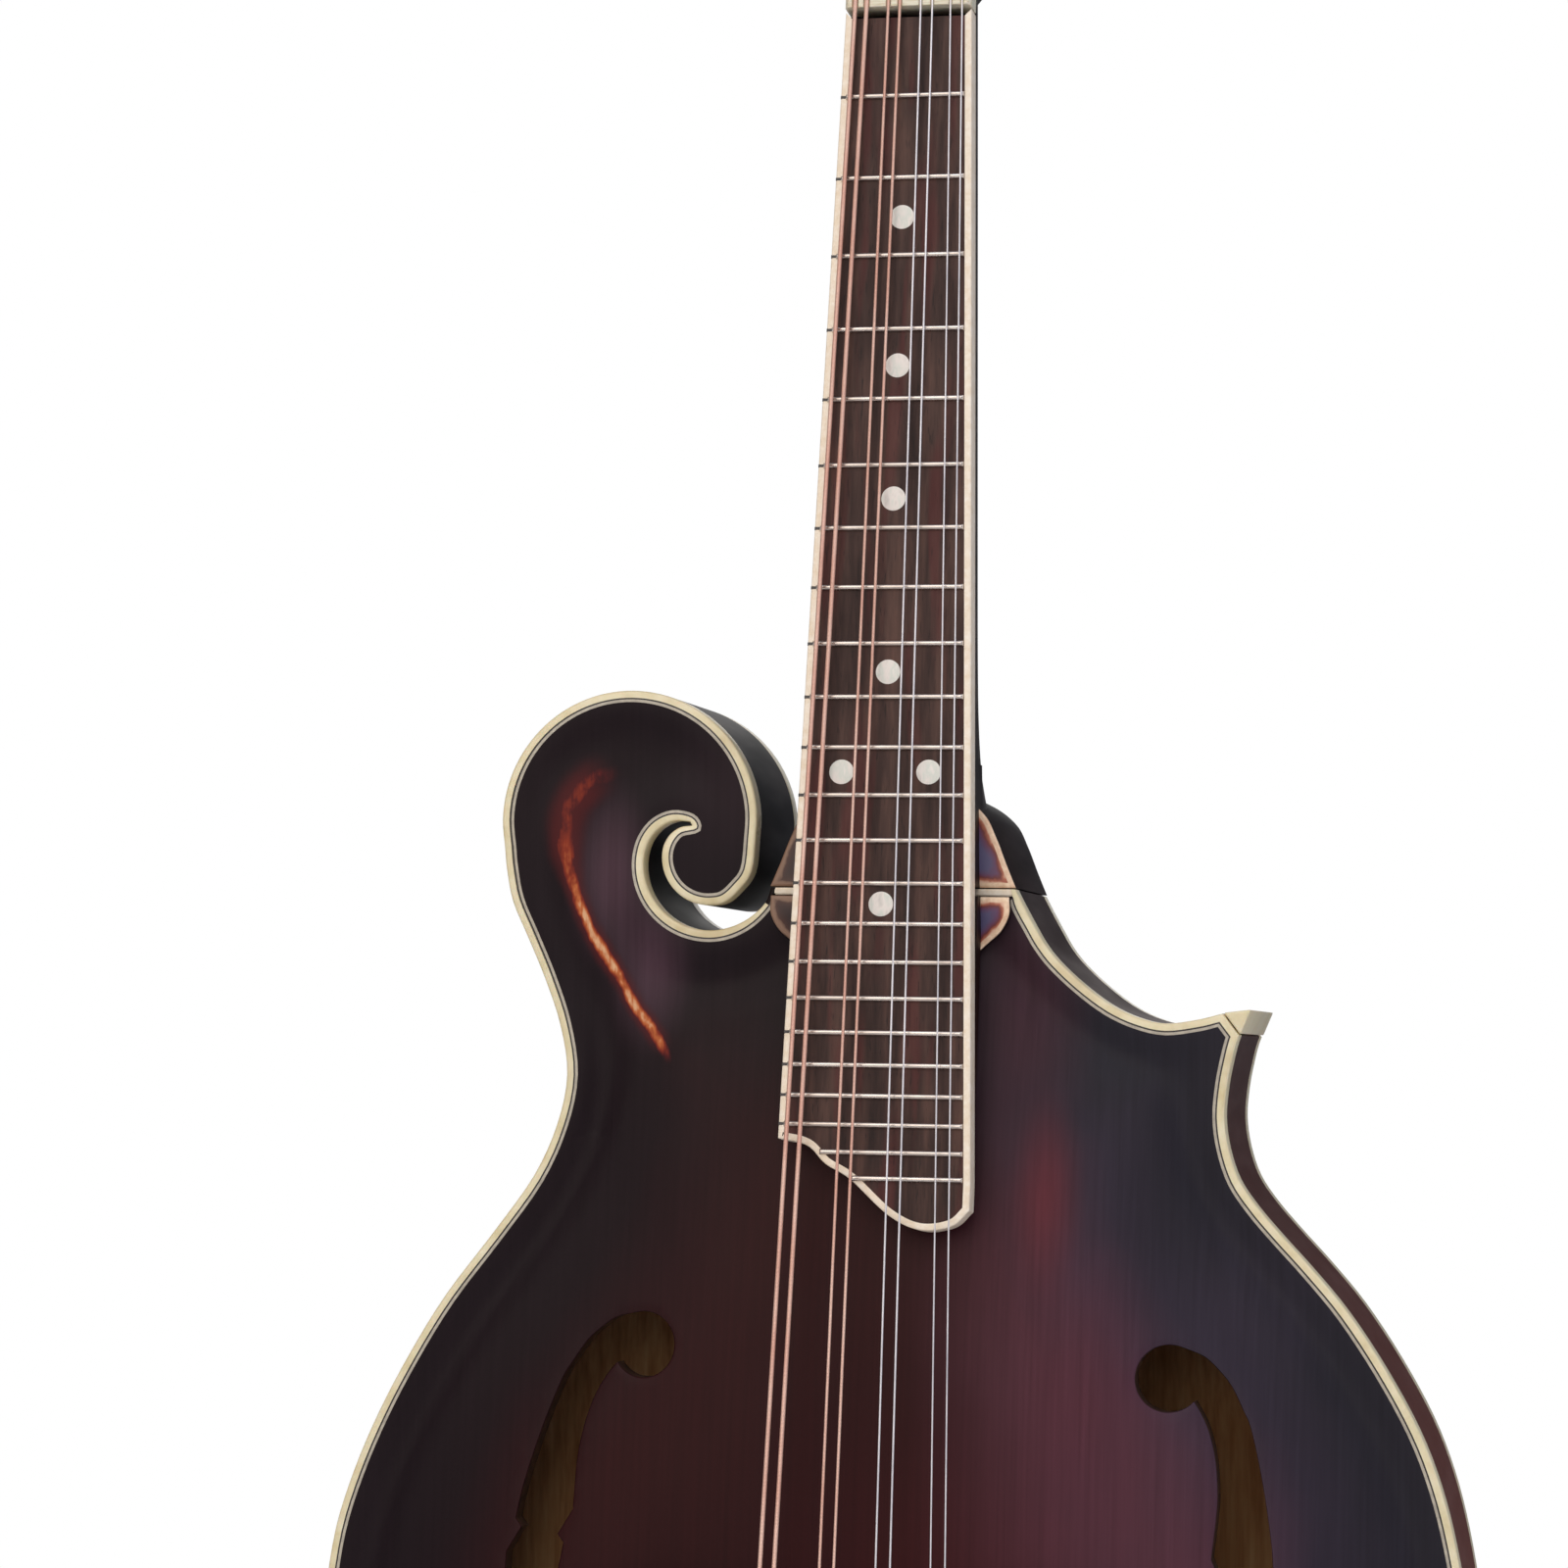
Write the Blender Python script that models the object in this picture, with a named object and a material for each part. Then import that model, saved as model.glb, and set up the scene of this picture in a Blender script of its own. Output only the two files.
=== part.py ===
"""F-style mandolin, built piece by piece.

Frame: metres, +Z up along the neck, the front faces -Y, the treble side is +X.
The origin is the middle of the end pin's flat outer face, the lowest point.
Plan points (x, z) below are measured from the nut line, on the middle of the neck.
"""
import math

import bmesh
import bpy
import numpy as np
from mathutils import Matrix, Vector
from mathutils.geometry import delaunay_2d_cdt

# Overall sizes
SCALE_LENGTH = 0.3524
NECK_ANGLE = math.radians(5.0)
RIM_DEPTH = 0.045
BODY_HALF_WIDTH = 0.127
LOWER_BOUT_LENGTH = 0.128
LOWER_BOUT_CENTRE = -0.366
END_PIN_REACH = 0.018
JOINT_Z = -0.195
GAP = 0.0003

# Playing surface, measured in front of the rim's front plane
BOARD_LIFT = 0.012
BOARD_LIFT_STATION = 0.200
BOARD_THICKNESS = 0.0055
BOARD_WIDTH_NUT = 0.02835
BOARD_WIDTH_GAIN = 0.0546
BOARD_EDGE = 0.0015
FRET_COUNT = 23
FRET_WIDTH = 0.0013
FRET_HEIGHT = 0.0009

# Body plates and trim
ARCH_TOP = 0.0145
ARCH_BACK = 0.013
RECURVE_DIP = 0.0012
PLATE_THICKNESS = 0.0042
PLATE_EDGE = 0.0047
BINDING_WIDTH = 0.0016
BINDING_DEPTH = 0.005
RIB_THICKNESS = 0.0023
LINING_WIDTH = 0.005
LINING_DEPTH = 0.006
JOINT_STRIP = 0.0015
GRID_STEP = 0.0170

# Strings: course middles at the nut and at the bridge, pair spacings and gauges
NUT_COURSES = (-0.0105, -0.0030, 0.0043, 0.0110)
BRIDGE_COURSES = (-0.0195, -0.0065, 0.0057, 0.0176)
PAIR_AT_NUT = 0.0026
PAIR_AT_BRIDGE = 0.0031
STRING_RADII = (0.00050, 0.00033, 0.00022, 0.00018)
STRING_LIFT_NUT = 0.0016
STRING_LIFT_BRIDGE = 0.0045
COURSE_NAMES = ("g", "d", "a", "e")

# Headstock and tuners
HEAD_ANGLE = math.radians(15.0)
HEAD_THICKNESS = 0.0135
OVERLAY_THICKNESS = 0.0016
NUT_THICKNESS = 0.0045
POST_X = 0.0185
POST_FIRST = 0.038
POST_SPACING = 0.023
POST_RADIUS = 0.003
POST_HOLE = 0.0034
POST_REACH = 0.0115
PLATE_METAL = 0.001
WORM_RADIUS = 0.0023
WORM_CREST = 0.0006
WORM_TURNS = 3
GEAR_TEETH = 14
GEAR_PITCH_RADIUS = 0.0052
GEAR_TOOTH = 0.0006
GEAR_WIDTH = 0.0026
GEAR_CENTRE_BACK = 0.0182
WORM_CENTRES = 0.0081
SHAFT_RADIUS = 0.0015
BUTTON_LENGTH = 0.017

# Bridge
BRIDGE_BASE_HALF = 0.057
BRIDGE_BASE_WIDTH = 0.0095
BRIDGE_BASE_TOP = 0.0203
STUD_X = 0.030
STUD_RADIUS = 0.0016
STUD_TOP = 0.0264
STUD_CLEARANCE = 0.0004
WHEEL_RADIUS = 0.006
WHEEL_THICKNESS = 0.0024
SADDLE_HALF = 0.048
SADDLE_WIDTH = 0.006
SADDLE_TOP = 0.0026
SADDLE_SHOULDER = 0.0020

# Tailpiece and end pin
TAIL_PLATE_HALF = 0.0191
TAIL_METAL = 0.0012
TAIL_REACH = 0.078
COVER_HALF = 0.0205
COVER_LENGTH = 0.066
COVER_METAL = 0.0011
COVER_TALL = 0.0072
COVER_SKIRT = 0.0008
PIN_SHANK = 0.0032
PIN_BUTTON = 0.0065
PIN_HOLE = 0.0036
PIN_DEPTH = 0.018
TAIL_BLOCK_DEPTH = 0.022

FRONT = -RIM_DEPTH / 2
BACK = RIM_DEPTH / 2
TAIL_Z = LOWER_BOUT_CENTRE - LOWER_BOUT_LENGTH
NUT_Z = END_PIN_REACH - TAIL_Z
NUT_Y = FRONT - BOARD_LIFT + BOARD_LIFT_STATION * math.sin(NECK_ANGLE)
BODY_FRAME = Matrix.Translation((0, 0, NUT_Z))
BOARD_FRAME = Matrix.Translation((0, NUT_Y, NUT_Z)) @ Matrix.Rotation(-NECK_ANGLE, 4, "X")
HEAD_FRAME = (
    BOARD_FRAME
    @ Matrix.Translation((0, BOARD_THICKNESS, NUT_THICKNESS))
    @ Matrix.Rotation(-HEAD_ANGLE, 4, "X")
)


# Scene and mesh helpers
def clear_scene():
    for old in list(bpy.data.objects):
        bpy.data.objects.remove(old, do_unlink=True)


def srgb(code):
    def linear(value):
        return value / 12.92 if value <= 0.04045 else ((value + 0.055) / 1.055) ** 2.4

    return tuple(linear(int(code[i : i + 2], 16) / 255) for i in (1, 3, 5)) + (1.0,)


def make_material(name, colour, roughness, metallic=0.0):
    material = bpy.data.materials.new(name)
    material.use_nodes = True
    shader = material.node_tree.nodes["Principled BSDF"]
    shader.inputs["Base Color"].default_value = srgb(colour)
    shader.inputs["Roughness"].default_value = roughness
    shader.inputs["Metallic"].default_value = metallic
    material.diffuse_color = srgb(colour)
    return material


def finish(name, bm, material, frame=None, smooth=True):
    """Turn a bmesh into a named object standing in the given frame."""
    bmesh.ops.recalc_face_normals(bm, faces=bm.faces)
    mesh = bpy.data.meshes.new(name)
    bm.to_mesh(mesh)
    bm.free()
    mesh.materials.append(material)
    if smooth:
        mesh.shade_smooth()
        mesh.set_sharp_from_angle(angle=math.radians(35))
    made = bpy.data.objects.new(name, mesh)
    bpy.context.collection.objects.link(made)
    made.matrix_world = frame or BODY_FRAME
    return made


def make_helper(made):
    made.hide_render = True
    made.display_type = "WIRE"
    return made


def boolean(made, helper, operation):
    make_helper(helper)
    step = made.modifiers.new(operation.lower() + "_" + helper.name, "BOOLEAN")
    step.operation = operation
    step.object = helper
    step.solver = "EXACT"


def loft(sections, closed=False):
    """Skin rings of equal length; open lofts get flat ends."""
    bm = bmesh.new()
    rings = [[bm.verts.new(point) for point in ring] for ring in sections]
    count = len(rings[0])
    pairs = list(zip(rings, rings[1:] + rings[:1])) if closed else list(zip(rings, rings[1:]))
    for low, high in pairs:
        for i in range(count):
            j = (i + 1) % count
            bm.faces.new((low[i], low[j], high[j], high[i]))
    if not closed:
        bm.faces.new(rings[0])
        bm.faces.new(rings[-1])
    return bm


def circle(radius, segments, start=0.0):
    step = 2 * math.pi / segments
    return [(radius * math.cos(start + i * step), radius * math.sin(start + i * step)) for i in range(segments)]


def turned(profile, segments, axis):
    """Turn (distance along the axis, radius) pairs about an axis through the local origin."""
    rings = []
    for along, radius in profile:
        ring = circle(radius, segments)
        if axis == "X":
            rings.append([(along, a, b) for a, b in ring])
        elif axis == "Y":
            rings.append([(b, along, a) for a, b in ring])
        else:
            rings.append([(a, b, along) for a, b in ring])
    return rings


def turned_ring(profile, segments, axis):
    """A turned body whose profile is a closed loop, such as a washer or a wheel."""
    return loft(turned(profile, segments, axis), closed=True)


def box(low, high):
    (x0, y0, z0), (x1, y1, z1) = low, high
    return loft(
        [
            [(x0, y0, z0), (x1, y0, z0), (x1, y1, z0), (x0, y1, z0)],
            [(x0, y0, z1), (x1, y0, z1), (x1, y1, z1), (x0, y1, z1)],
        ]
    )


def spline(points, per_span):
    """Catmull-Rom curve through plan points, without its last point."""
    padded = [points[0]] + list(points) + [points[-1]]
    out = []
    for i in range(1, len(padded) - 2):
        p0, p1, p2, p3 = (np.array(p, float) for p in padded[i - 1 : i + 3])
        for k in range(per_span):
            t = k / per_span
            out.append(
                tuple(
                    0.5
                    * (
                        2 * p1
                        + (p2 - p0) * t
                        + (2 * p0 - 5 * p1 + 4 * p2 - p3) * t * t
                        + (3 * p1 - p0 - 3 * p2 + p3) * t ** 3
                    )
                )
            )
    return out


def arc(centre, radius_x, radius_z, start, end, count):
    """Points on an elliptical arc from start to end degrees, both included."""
    out = []
    for i in range(count):
        a = math.radians(start + (end - start) * i / (count - 1))
        out.append((centre[0] + radius_x * math.cos(a), centre[1] + radius_z * math.sin(a)))
    return out


def inside(point, loop):
    x, z = point
    hit = False
    for (x0, z0), (x1, z1) in zip(loop, loop[1:] + loop[:1]):
        if (z0 > z) != (z1 > z) and x < (x1 - x0) * (z - z0) / (z1 - z0) + x0:
            hit = not hit
    return hit


def loop_distance(point, loop):
    a = np.array(loop)
    b = np.roll(a, -1, axis=0)
    p = np.array(point)
    ab = b - a
    t = np.clip(((p - a) * ab).sum(1) / np.maximum((ab * ab).sum(1), 1e-18), 0, 1)
    return float(np.sqrt(((a + ab * t[:, None] - p) ** 2).sum(1)).min())


def grid_points(loops, step, margin, extra=()):
    """Staggered grid points inside the outline, clear of its edges, its holes and the extra points."""
    xs, zs = zip(*loops[0])
    spots = []
    row = 0
    z = min(zs)
    while z < max(zs):
        x = min(xs) + (row % 2) * step / 2
        while x < max(xs):
            spot = (x, z)
            if inside(spot, loops[0]) and not any(inside(spot, hole) for hole in loops[1:]):
                near = [loop_distance(spot, loop) for loop in loops] + [math.dist(spot, p) for p in extra]
                if min(near) > margin * step:
                    spots.append(spot)
            x += step
        z += step * math.sqrt(3) / 2
        row += 1
    return spots


def relief(loops, front, back, step=None, margin=0.55, extra=()):
    """A solid between two height functions over a plan outline with holes.

    loops[0] is the outline and the rest are holes; front and back give y at (x, z).
    Inner points lie on a grid of the given step, away from the loops and from the extra points.
    """
    points = [p for loop in loops for p in loop] + list(extra)
    if step:
        points += grid_points(loops, step, margin, extra)
    edges = []
    start = 0
    for loop in loops:
        count = len(loop)
        edges += [(start + i, start + (i + 1) % count) for i in range(count)]
        start += count
    flat, _, faces, _, _, _ = delaunay_2d_cdt([Vector(p) for p in points], edges, [], 1, 1e-7)
    kept = []
    for face in faces:
        middle = tuple(sum((flat[i] for i in face), Vector((0, 0))) / len(face))
        if inside(middle, loops[0]) and not any(inside(middle, hole) for hole in loops[1:]):
            kept.append(face)
    bm = bmesh.new()
    top = [bm.verts.new((p[0], front(p[0], p[1]), p[1])) for p in flat]
    low = [bm.verts.new((p[0], back(p[0], p[1]), p[1])) for p in flat]
    uses = {}
    for face in kept:
        bm.faces.new([top[i] for i in face])
        bm.faces.new([low[i] for i in reversed(face)])
        for i, j in zip(face, list(face[1:]) + [face[0]]):
            uses[(i, j)] = uses.get((i, j), 0) + 1
    for i, j in uses:
        if (j, i) not in uses:
            bm.faces.new((top[i], low[i], low[j], top[j]))
    loose = [v for v in bm.verts if not v.link_faces]
    bmesh.ops.delete(bm, geom=loose, context="VERTS")
    return bm


# Body outline, from the neck joint's bass side round the scroll and the tail to its treble side
CURL_CENTRE = (-0.0411, -0.1886)
CURL_RADIUS = 0.0107
CURL_TIGHTENING = 0.0028
SLOT_WIDTH = 0.0056
SLOT_TAPER = 0.82
SLOT_START = -38.0
SLOT_END = -240.0
SCROLL_CENTRE = (-0.05935, -0.1809)
SCROLL_RADIUS = 0.0290
JOINT_HALF = 0.0273
WAIST_BASS = [
    (-0.0856, -0.1989),
    (-0.0778, -0.2162),
    (-0.0725, -0.2370),
    (-0.0797, -0.2595),
    (-0.0992, -0.2859),
    (-0.1142, -0.3123),
    (-0.1237, -0.3385),
]
LOWER_SCOOP = [(0.1012, -0.4385), (0.1070, -0.4250), (0.1140, -0.4130), (0.1230, -0.4048)]
LOWER_TIP = (0.1305, -0.4015)
LOWER_TIP_TOP = (0.1276, -0.3965)
WAIST_TREBLE = [
    (0.1275, -0.3650),
    (0.1232, -0.3337),
    (0.1152, -0.3093),
    (0.1001, -0.2849),
    (0.0856, -0.2686),
    (0.0765, -0.2570),
    (0.0733, -0.2438),
    (0.0749, -0.2312),
]
UPPER_TIP_LOW = (0.0763, -0.2263)
UPPER_TIP = (0.0788, -0.2207)
UPPER_TIP_TOP = (0.0727, -0.2216)
CUTAWAY = [(0.0604, -0.2239), (0.0484, -0.2200), (0.0368, -0.2106), (0.0316, -0.2032)]


def slot_wall(share):
    """Radii of the curl and of the wall round it, from the slot's mouth (0) to its end (1)."""
    tight = max(0.0, (share - 0.72) / 0.28)
    curl = CURL_RADIUS - CURL_TIGHTENING * tight ** 2
    return curl, curl + SLOT_WIDTH * (1 - SLOT_TAPER * share ** 3)


def round_curl(radius, degrees):
    a = math.radians(degrees)
    return (CURL_CENTRE[0] + radius * math.cos(a), CURL_CENTRE[1] + radius * math.sin(a))


def body_path(end_z):
    """The rim's outer line as an open path whose two ends lie at end_z."""
    steps = 13
    shares = [i / steps for i in range(steps + 1)]
    turn = [SLOT_START + (SLOT_END - SLOT_START) * s for s in shares]
    path = [(-JOINT_HALF + 0.0003, end_z)]
    path += [round_curl(slot_wall(s)[1], a) for s, a in zip(shares, turn)]
    path += [round_curl(slot_wall(s)[0], a) for s, a in reversed(list(zip(shares, turn)))][:-1]
    path += arc(SCROLL_CENTRE, SCROLL_RADIUS, SCROLL_RADIUS, -8, 192, 17)
    centre = (0.0, LOWER_BOUT_CENTRE)
    path += spline([path[-1]] + WAIST_BASS + [(-BODY_HALF_WIDTH, LOWER_BOUT_CENTRE)], 2)[1:]
    path += arc(centre, BODY_HALF_WIDTH, LOWER_BOUT_LENGTH, 180, 316, 19)
    path += spline([path[-1]] + LOWER_SCOOP, 2)[1:] + [LOWER_SCOOP[-1]]
    path += spline([LOWER_TIP_TOP] + WAIST_TREBLE + [UPPER_TIP_LOW], 2) + [UPPER_TIP_LOW]
    path += spline([UPPER_TIP_TOP] + CUTAWAY + [(JOINT_HALF, end_z)], 2) + [(JOINT_HALF, end_z)]
    return path


def inset(path, distance):
    """Move an open path to its left; its two ends slide along the joint line."""
    moved = []
    for i, here in enumerate(path):
        before = path[max(i - 1, 0)]
        after = path[min(i + 1, len(path) - 1)]
        a = Vector((here[0] - before[0], here[1] - before[1]))
        b = Vector((after[0] - here[0], after[1] - here[1]))
        if i == 0 or i == len(path) - 1:
            run = (b if i == 0 else a).normalized()
            moved.append((here[0] + distance / -run.y, here[1]))
            continue
        a.normalize()
        b.normalize()
        normal = Vector((-a.y - b.y, a.x + b.x)).normalized()
        spread = max(normal.dot(Vector((-a.y, a.x))), 0.45)
        moved.append((here[0] + normal.x * distance / spread, here[1] + normal.y * distance / spread))
    return moved


def wall_strip(path, outer, inner, front, back):
    """A wall along the path between two insets and two depths."""
    out, far = inset(path, outer), inset(path, inner)
    return loft([[(a[0], front, a[1]), (b[0], front, b[1]), (b[0], back, b[1]), (a[0], back, a[1])]
                 for a, b in zip(out, far)])


def field_samples():
    """Fine steps along the closed outline, with their lengths, for the arching."""
    line = body_path(JOINT_Z)
    spots, lengths = [], []
    for (x0, z0), (x1, z1) in zip(line, line[1:] + line[:1]):
        span = math.hypot(x1 - x0, z1 - z0)
        count = max(1, round(span / 0.0012))
        for k in range(count):
            t = (k + 0.5) / count
            spots.append((x0 + (x1 - x0) * t, z0 + (z1 - z0) * t))
            lengths.append(span / count)
    return np.array(spots), np.array(lengths)


FIELD_SPOTS, FIELD_LENGTHS = field_samples()


def edge_depth(x, z):
    """A smooth distance in from the outline, small at the edge and even in the middle."""
    squared = ((FIELD_SPOTS - (x, z)) ** 2).sum(1)
    return math.pi / float((FIELD_LENGTHS / np.maximum(squared, 1e-8)).sum())


def arching(x, z, height):
    """Height of a carved plate's outer face above its edge plane."""
    depth = edge_depth(x, z)
    rise = min(max((depth - 0.008) / 0.052, 0.0), 1.0)
    dip = min(max((depth - 0.003) / 0.010, 0.0), 1.0)
    return height * math.sin(math.pi / 2 * rise) ** 1.5 - RECURVE_DIP * math.sin(math.pi * dip) ** 2


def top_outer(x, z):
    return FRONT - arching(x, z, ARCH_TOP)


def top_inner(x, z):
    return min(FRONT + PLATE_EDGE, top_outer(x, z) + PLATE_THICKNESS + 0.0014)


def back_outer(x, z):
    return BACK + arching(x, z, ARCH_BACK)


def back_inner(x, z):
    return max(BACK - PLATE_EDGE, back_outer(x, z) - PLATE_THICKNESS - 0.0014)


# F-holes: the treble one is drawn, and the bass one is its mirror image, leant a little
HOLE_EYE = (0.0628, -0.2992)
HOLE_EYE_RADIUS = 0.0068
HOLE_MIDDLE = (0.0795, -0.3430)
STEM_OUTER = [(0.0720, -0.2952), (0.0775, -0.3018), (0.0806, -0.3102), (0.0830, -0.3215), (0.0850, -0.3340)]
STEM_INNER = [(0.0679, -0.3046), (0.0714, -0.3105), (0.0734, -0.3180), (0.0738, -0.3257), (0.0726, -0.3370)]
NICK_OUTER = [(0.0855, -0.3415), (0.0838, -0.3430)]
BASS_EYE = (-0.0519, -0.2953)
BASS_LEAN = math.radians(8.0)


def half_hole():
    """Upper half of the treble f-hole, from the middle's outer side round the eye to its inner side."""
    outer = spline(list(reversed(STEM_OUTER)), 2)[:-2]
    eye = arc(HOLE_EYE, HOLE_EYE_RADIUS, HOLE_EYE_RADIUS, 72, 300, 13)
    inner = spline(STEM_INNER, 2) + [STEM_INNER[-1]]
    return [NICK_OUTER[1], NICK_OUTER[0]] + outer + eye + inner[1:]


def f_hole(side):
    upper = half_hole()
    lower = [(2 * HOLE_MIDDLE[0] - x, 2 * HOLE_MIDDLE[1] - z) for x, z in upper]
    loop = upper + lower
    if side == "treble":
        return loop
    c, s = math.cos(BASS_LEAN), math.sin(BASS_LEAN)
    moved = []
    for x, z in loop:
        dx, dz = HOLE_EYE[0] - x, z - HOLE_EYE[1]
        moved.append((BASS_EYE[0] + dx * c + dz * s, BASS_EYE[1] - dx * s + dz * c))
    return moved


def build_body(wood):
    """Plates, rim, bindings, blocks, linings and tone bars."""
    plate = inset(body_path(JOINT_Z - GAP - JOINT_STRIP - GAP), BINDING_WIDTH + GAP)
    holes = [f_hole("treble"), f_hole("bass")]
    seat = riser_outline()
    seat += grid_points([seat], RISER_STEP, RISER_MARGIN)
    top = relief([plate] + holes, top_outer, top_inner, GRID_STEP, extra=seat)
    finish("top_plate", top, wood["top"])
    finish("back_plate", relief([plate], back_inner, back_outer, GRID_STEP), wood["side"])
    line = body_path(JOINT_Z - GAP)
    deep = BINDING_DEPTH + GAP
    rim = finish("rim", wall_strip(line, 0, RIB_THICKNESS, FRONT + deep, BACK - deep), wood["side"])
    boolean(rim, pin_cutter("rim_pin_hole"), "DIFFERENCE")
    finish("top_binding", wall_strip(line, 0, BINDING_WIDTH, FRONT, FRONT + BINDING_DEPTH), wood["binding"])
    finish("back_binding", wall_strip(line, 0, BINDING_WIDTH, BACK - BINDING_DEPTH, BACK), wood["binding"])
    build_point_cap("upper_point_cap", UPPER_TIP_LOW, UPPER_TIP, UPPER_TIP_TOP, wood)
    build_point_cap("lower_point_cap", LOWER_SCOOP[-1], LOWER_TIP, LOWER_TIP_TOP, wood)
    build_blocks(wood, line)
    build_linings(wood, line)
    build_bars(wood)


def pin_cutter(name):
    z0, z1 = TAIL_Z - 0.004, TAIL_Z + TAIL_BLOCK_DEPTH + 0.001
    return finish(name, loft(turned([(z0, PIN_HOLE), (z1, PIN_HOLE)], 16, "Z")), None)


def build_point_cap(name, low, tip, high, wood):
    """The light cap that guards a point, over the rim's whole depth."""
    run = Vector((high[0] - low[0], high[1] - low[1])).normalized()
    out = Vector((run.y, -run.x)) * GAP
    corners = [(low[0] + out.x, low[1] + out.y), tip, (high[0] + out.x, high[1] + out.y)]
    finish(name, loft([[(x, y, z) for x, z in corners] for y in (FRONT, BACK)]), wood["binding"])


def build_blocks(wood, line):
    """Head block, which fills the scroll too, and tail block."""
    inner = inset(line, RIB_THICKNESS + GAP)
    treble = [p for p in inner[-12:] if p[0] < 0.052]
    split = next(i for i, p in enumerate(inner) if i > 20 and p[1] < -0.222)
    outline = treble + inner[:split]
    depth = BACK - PLATE_EDGE - GAP
    head = finish("head_block", relief([outline], lambda x, z: -depth, lambda x, z: depth), wood["block"])
    boolean(head, tenon("mortise", TENON_CLEARANCE, None), "DIFFERENCE")
    tail = [p for p in inner if p[1] < TAIL_Z + 0.012 and abs(p[0]) < 0.04]
    tail += [(0.036, TAIL_Z + TAIL_BLOCK_DEPTH), (-0.036, TAIL_Z + TAIL_BLOCK_DEPTH)]
    block = finish("tail_block", relief([tail], lambda x, z: -depth, lambda x, z: depth), wood["block"])
    boolean(block, pin_cutter("block_pin_hole"), "DIFFERENCE")


TENON_CLEARANCE = 0.0003
TENON_LENGTH = 0.016
TENON_HALF_ROOT = 0.009
TENON_HALF_END = 0.012
TENON_FRONT = -0.0165
TENON_BACK = 0.012


def tenon(name, extra, material):
    """The neck's dovetail, or with a clearance its mortise in the head block."""
    rings = []
    for z, half in ((JOINT_Z + 0.002, TENON_HALF_ROOT), (JOINT_Z - TENON_LENGTH - extra, TENON_HALF_END)):
        w, y0, y1 = half + extra, TENON_FRONT - extra, TENON_BACK + extra
        rings.append([(-w, y0, z), (w, y0, z), (w, y1, z), (-w, y1, z)])
    return finish(name, loft(rings), material)


def build_linings(wood, line):
    """Four strips that widen the rim's edges where the plates are glued."""
    near = inset(line, RIB_THICKNESS + GAP)
    far = inset(line, RIB_THICKNESS + LINING_WIDTH)
    for side, sign, top_z in (("bass", -1, -0.240), ("treble", 1, -0.248)):
        runs = [(a, b) for a, b in zip(near, far) if a[0] * sign > 0.042 and a[1] < top_z]
        for face, y0 in (
            ("top", FRONT + BINDING_DEPTH + GAP),
            ("back", BACK - BINDING_DEPTH - GAP - LINING_DEPTH),
        ):
            y1 = y0 + LINING_DEPTH
            rings = [[(a[0], y0, a[1]), (b[0], y0, b[1]), (b[0], y1, b[1]), (a[0], y1, a[1])] for a, b in runs]
            finish(face + "_lining_" + side, loft(rings), wood["block"])


BAR_WIDTH = 0.006
BAR_HEIGHT = 0.011
BAR_SEAT = 0.0004
BARS = {"bass": ((-0.013, -0.248), (-0.034, -0.440)), "treble": ((0.016, -0.248), (0.037, -0.440))}


def build_bars(wood):
    """Two tone bars under the top, fitted to its inner face and tapered at their ends."""
    for side, (upper, lower) in BARS.items():
        rings = []
        stations = 13
        for i in range(stations):
            t = i / (stations - 1)
            x = upper[0] + (lower[0] - upper[0]) * t
            z = upper[1] + (lower[1] - upper[1]) * t
            tall = BAR_HEIGHT * (0.25 + 0.75 * math.sin(math.pi * t) ** 0.7)
            sides = (x - BAR_WIDTH / 2, x + BAR_WIDTH / 2)
            seats = [top_inner(s, z) + BAR_SEAT for s in sides]
            low = max(seats) + tall
            rings.append([(sides[0], seats[0], z), (sides[1], seats[1], z), (sides[1], low, z), (sides[0], low, z)])
        finish("tone_bar_" + side, loft(rings), wood["block"])


# Neck, heel and headstock
NECK_STATIONS = [  # distance below the nut, depth behind the fingerboard
    (-0.0053, 0.0135),
    (0.020, 0.0145),
    (0.060, 0.0155),
    (0.105, 0.0165),
    (0.135, 0.0180),
    (0.148, 0.0210),
    (0.157, 0.0260),
    (0.164, 0.0340),
    (0.1675, 0.0440),
]
HEEL_DOME = [(0.0273, -0.1950), (0.0256, -0.1900), (0.0235, -0.1840), (0.0205, -0.1780), (0.0150, -0.1730)]
HEEL_TOP = (0.0060, -0.1690)
HEEL_FRONT = FRONT + 0.0006
CHANNEL_HALF = 0.0033
CHANNEL_DEPTH = 0.009
CHANNEL_BOTTOM = 0.182
CHANNEL_TOP = 0.022
ROD_RADIUS = 0.0024


def board_width(distance):
    return BOARD_WIDTH_NUT + BOARD_WIDTH_GAIN * distance


def board_plane(z, depth):
    """World y, at plan height z, of the plane that lies depth under the playing surface."""
    return NUT_Y + z * math.tan(NECK_ANGLE) + depth / math.cos(NECK_ANGLE)


def neck_ring(distance, depth):
    z = -distance
    half = board_width(distance) / 2
    y = board_plane(z, BOARD_THICKNESS + GAP)
    ring = [(half, y, z)]
    for i in range(1, 10):
        a = math.pi * i / 10
        c, s = math.cos(a), math.sin(a)
        ring.append((half * math.copysign(abs(c) ** 0.7, c), y + depth * s ** 0.85, z))
    return ring + [(-half, y, z)]


def heel_outline():
    right = HEEL_DOME + [HEEL_TOP]
    return right + [(-x, z) for x, z in reversed(right)]


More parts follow.
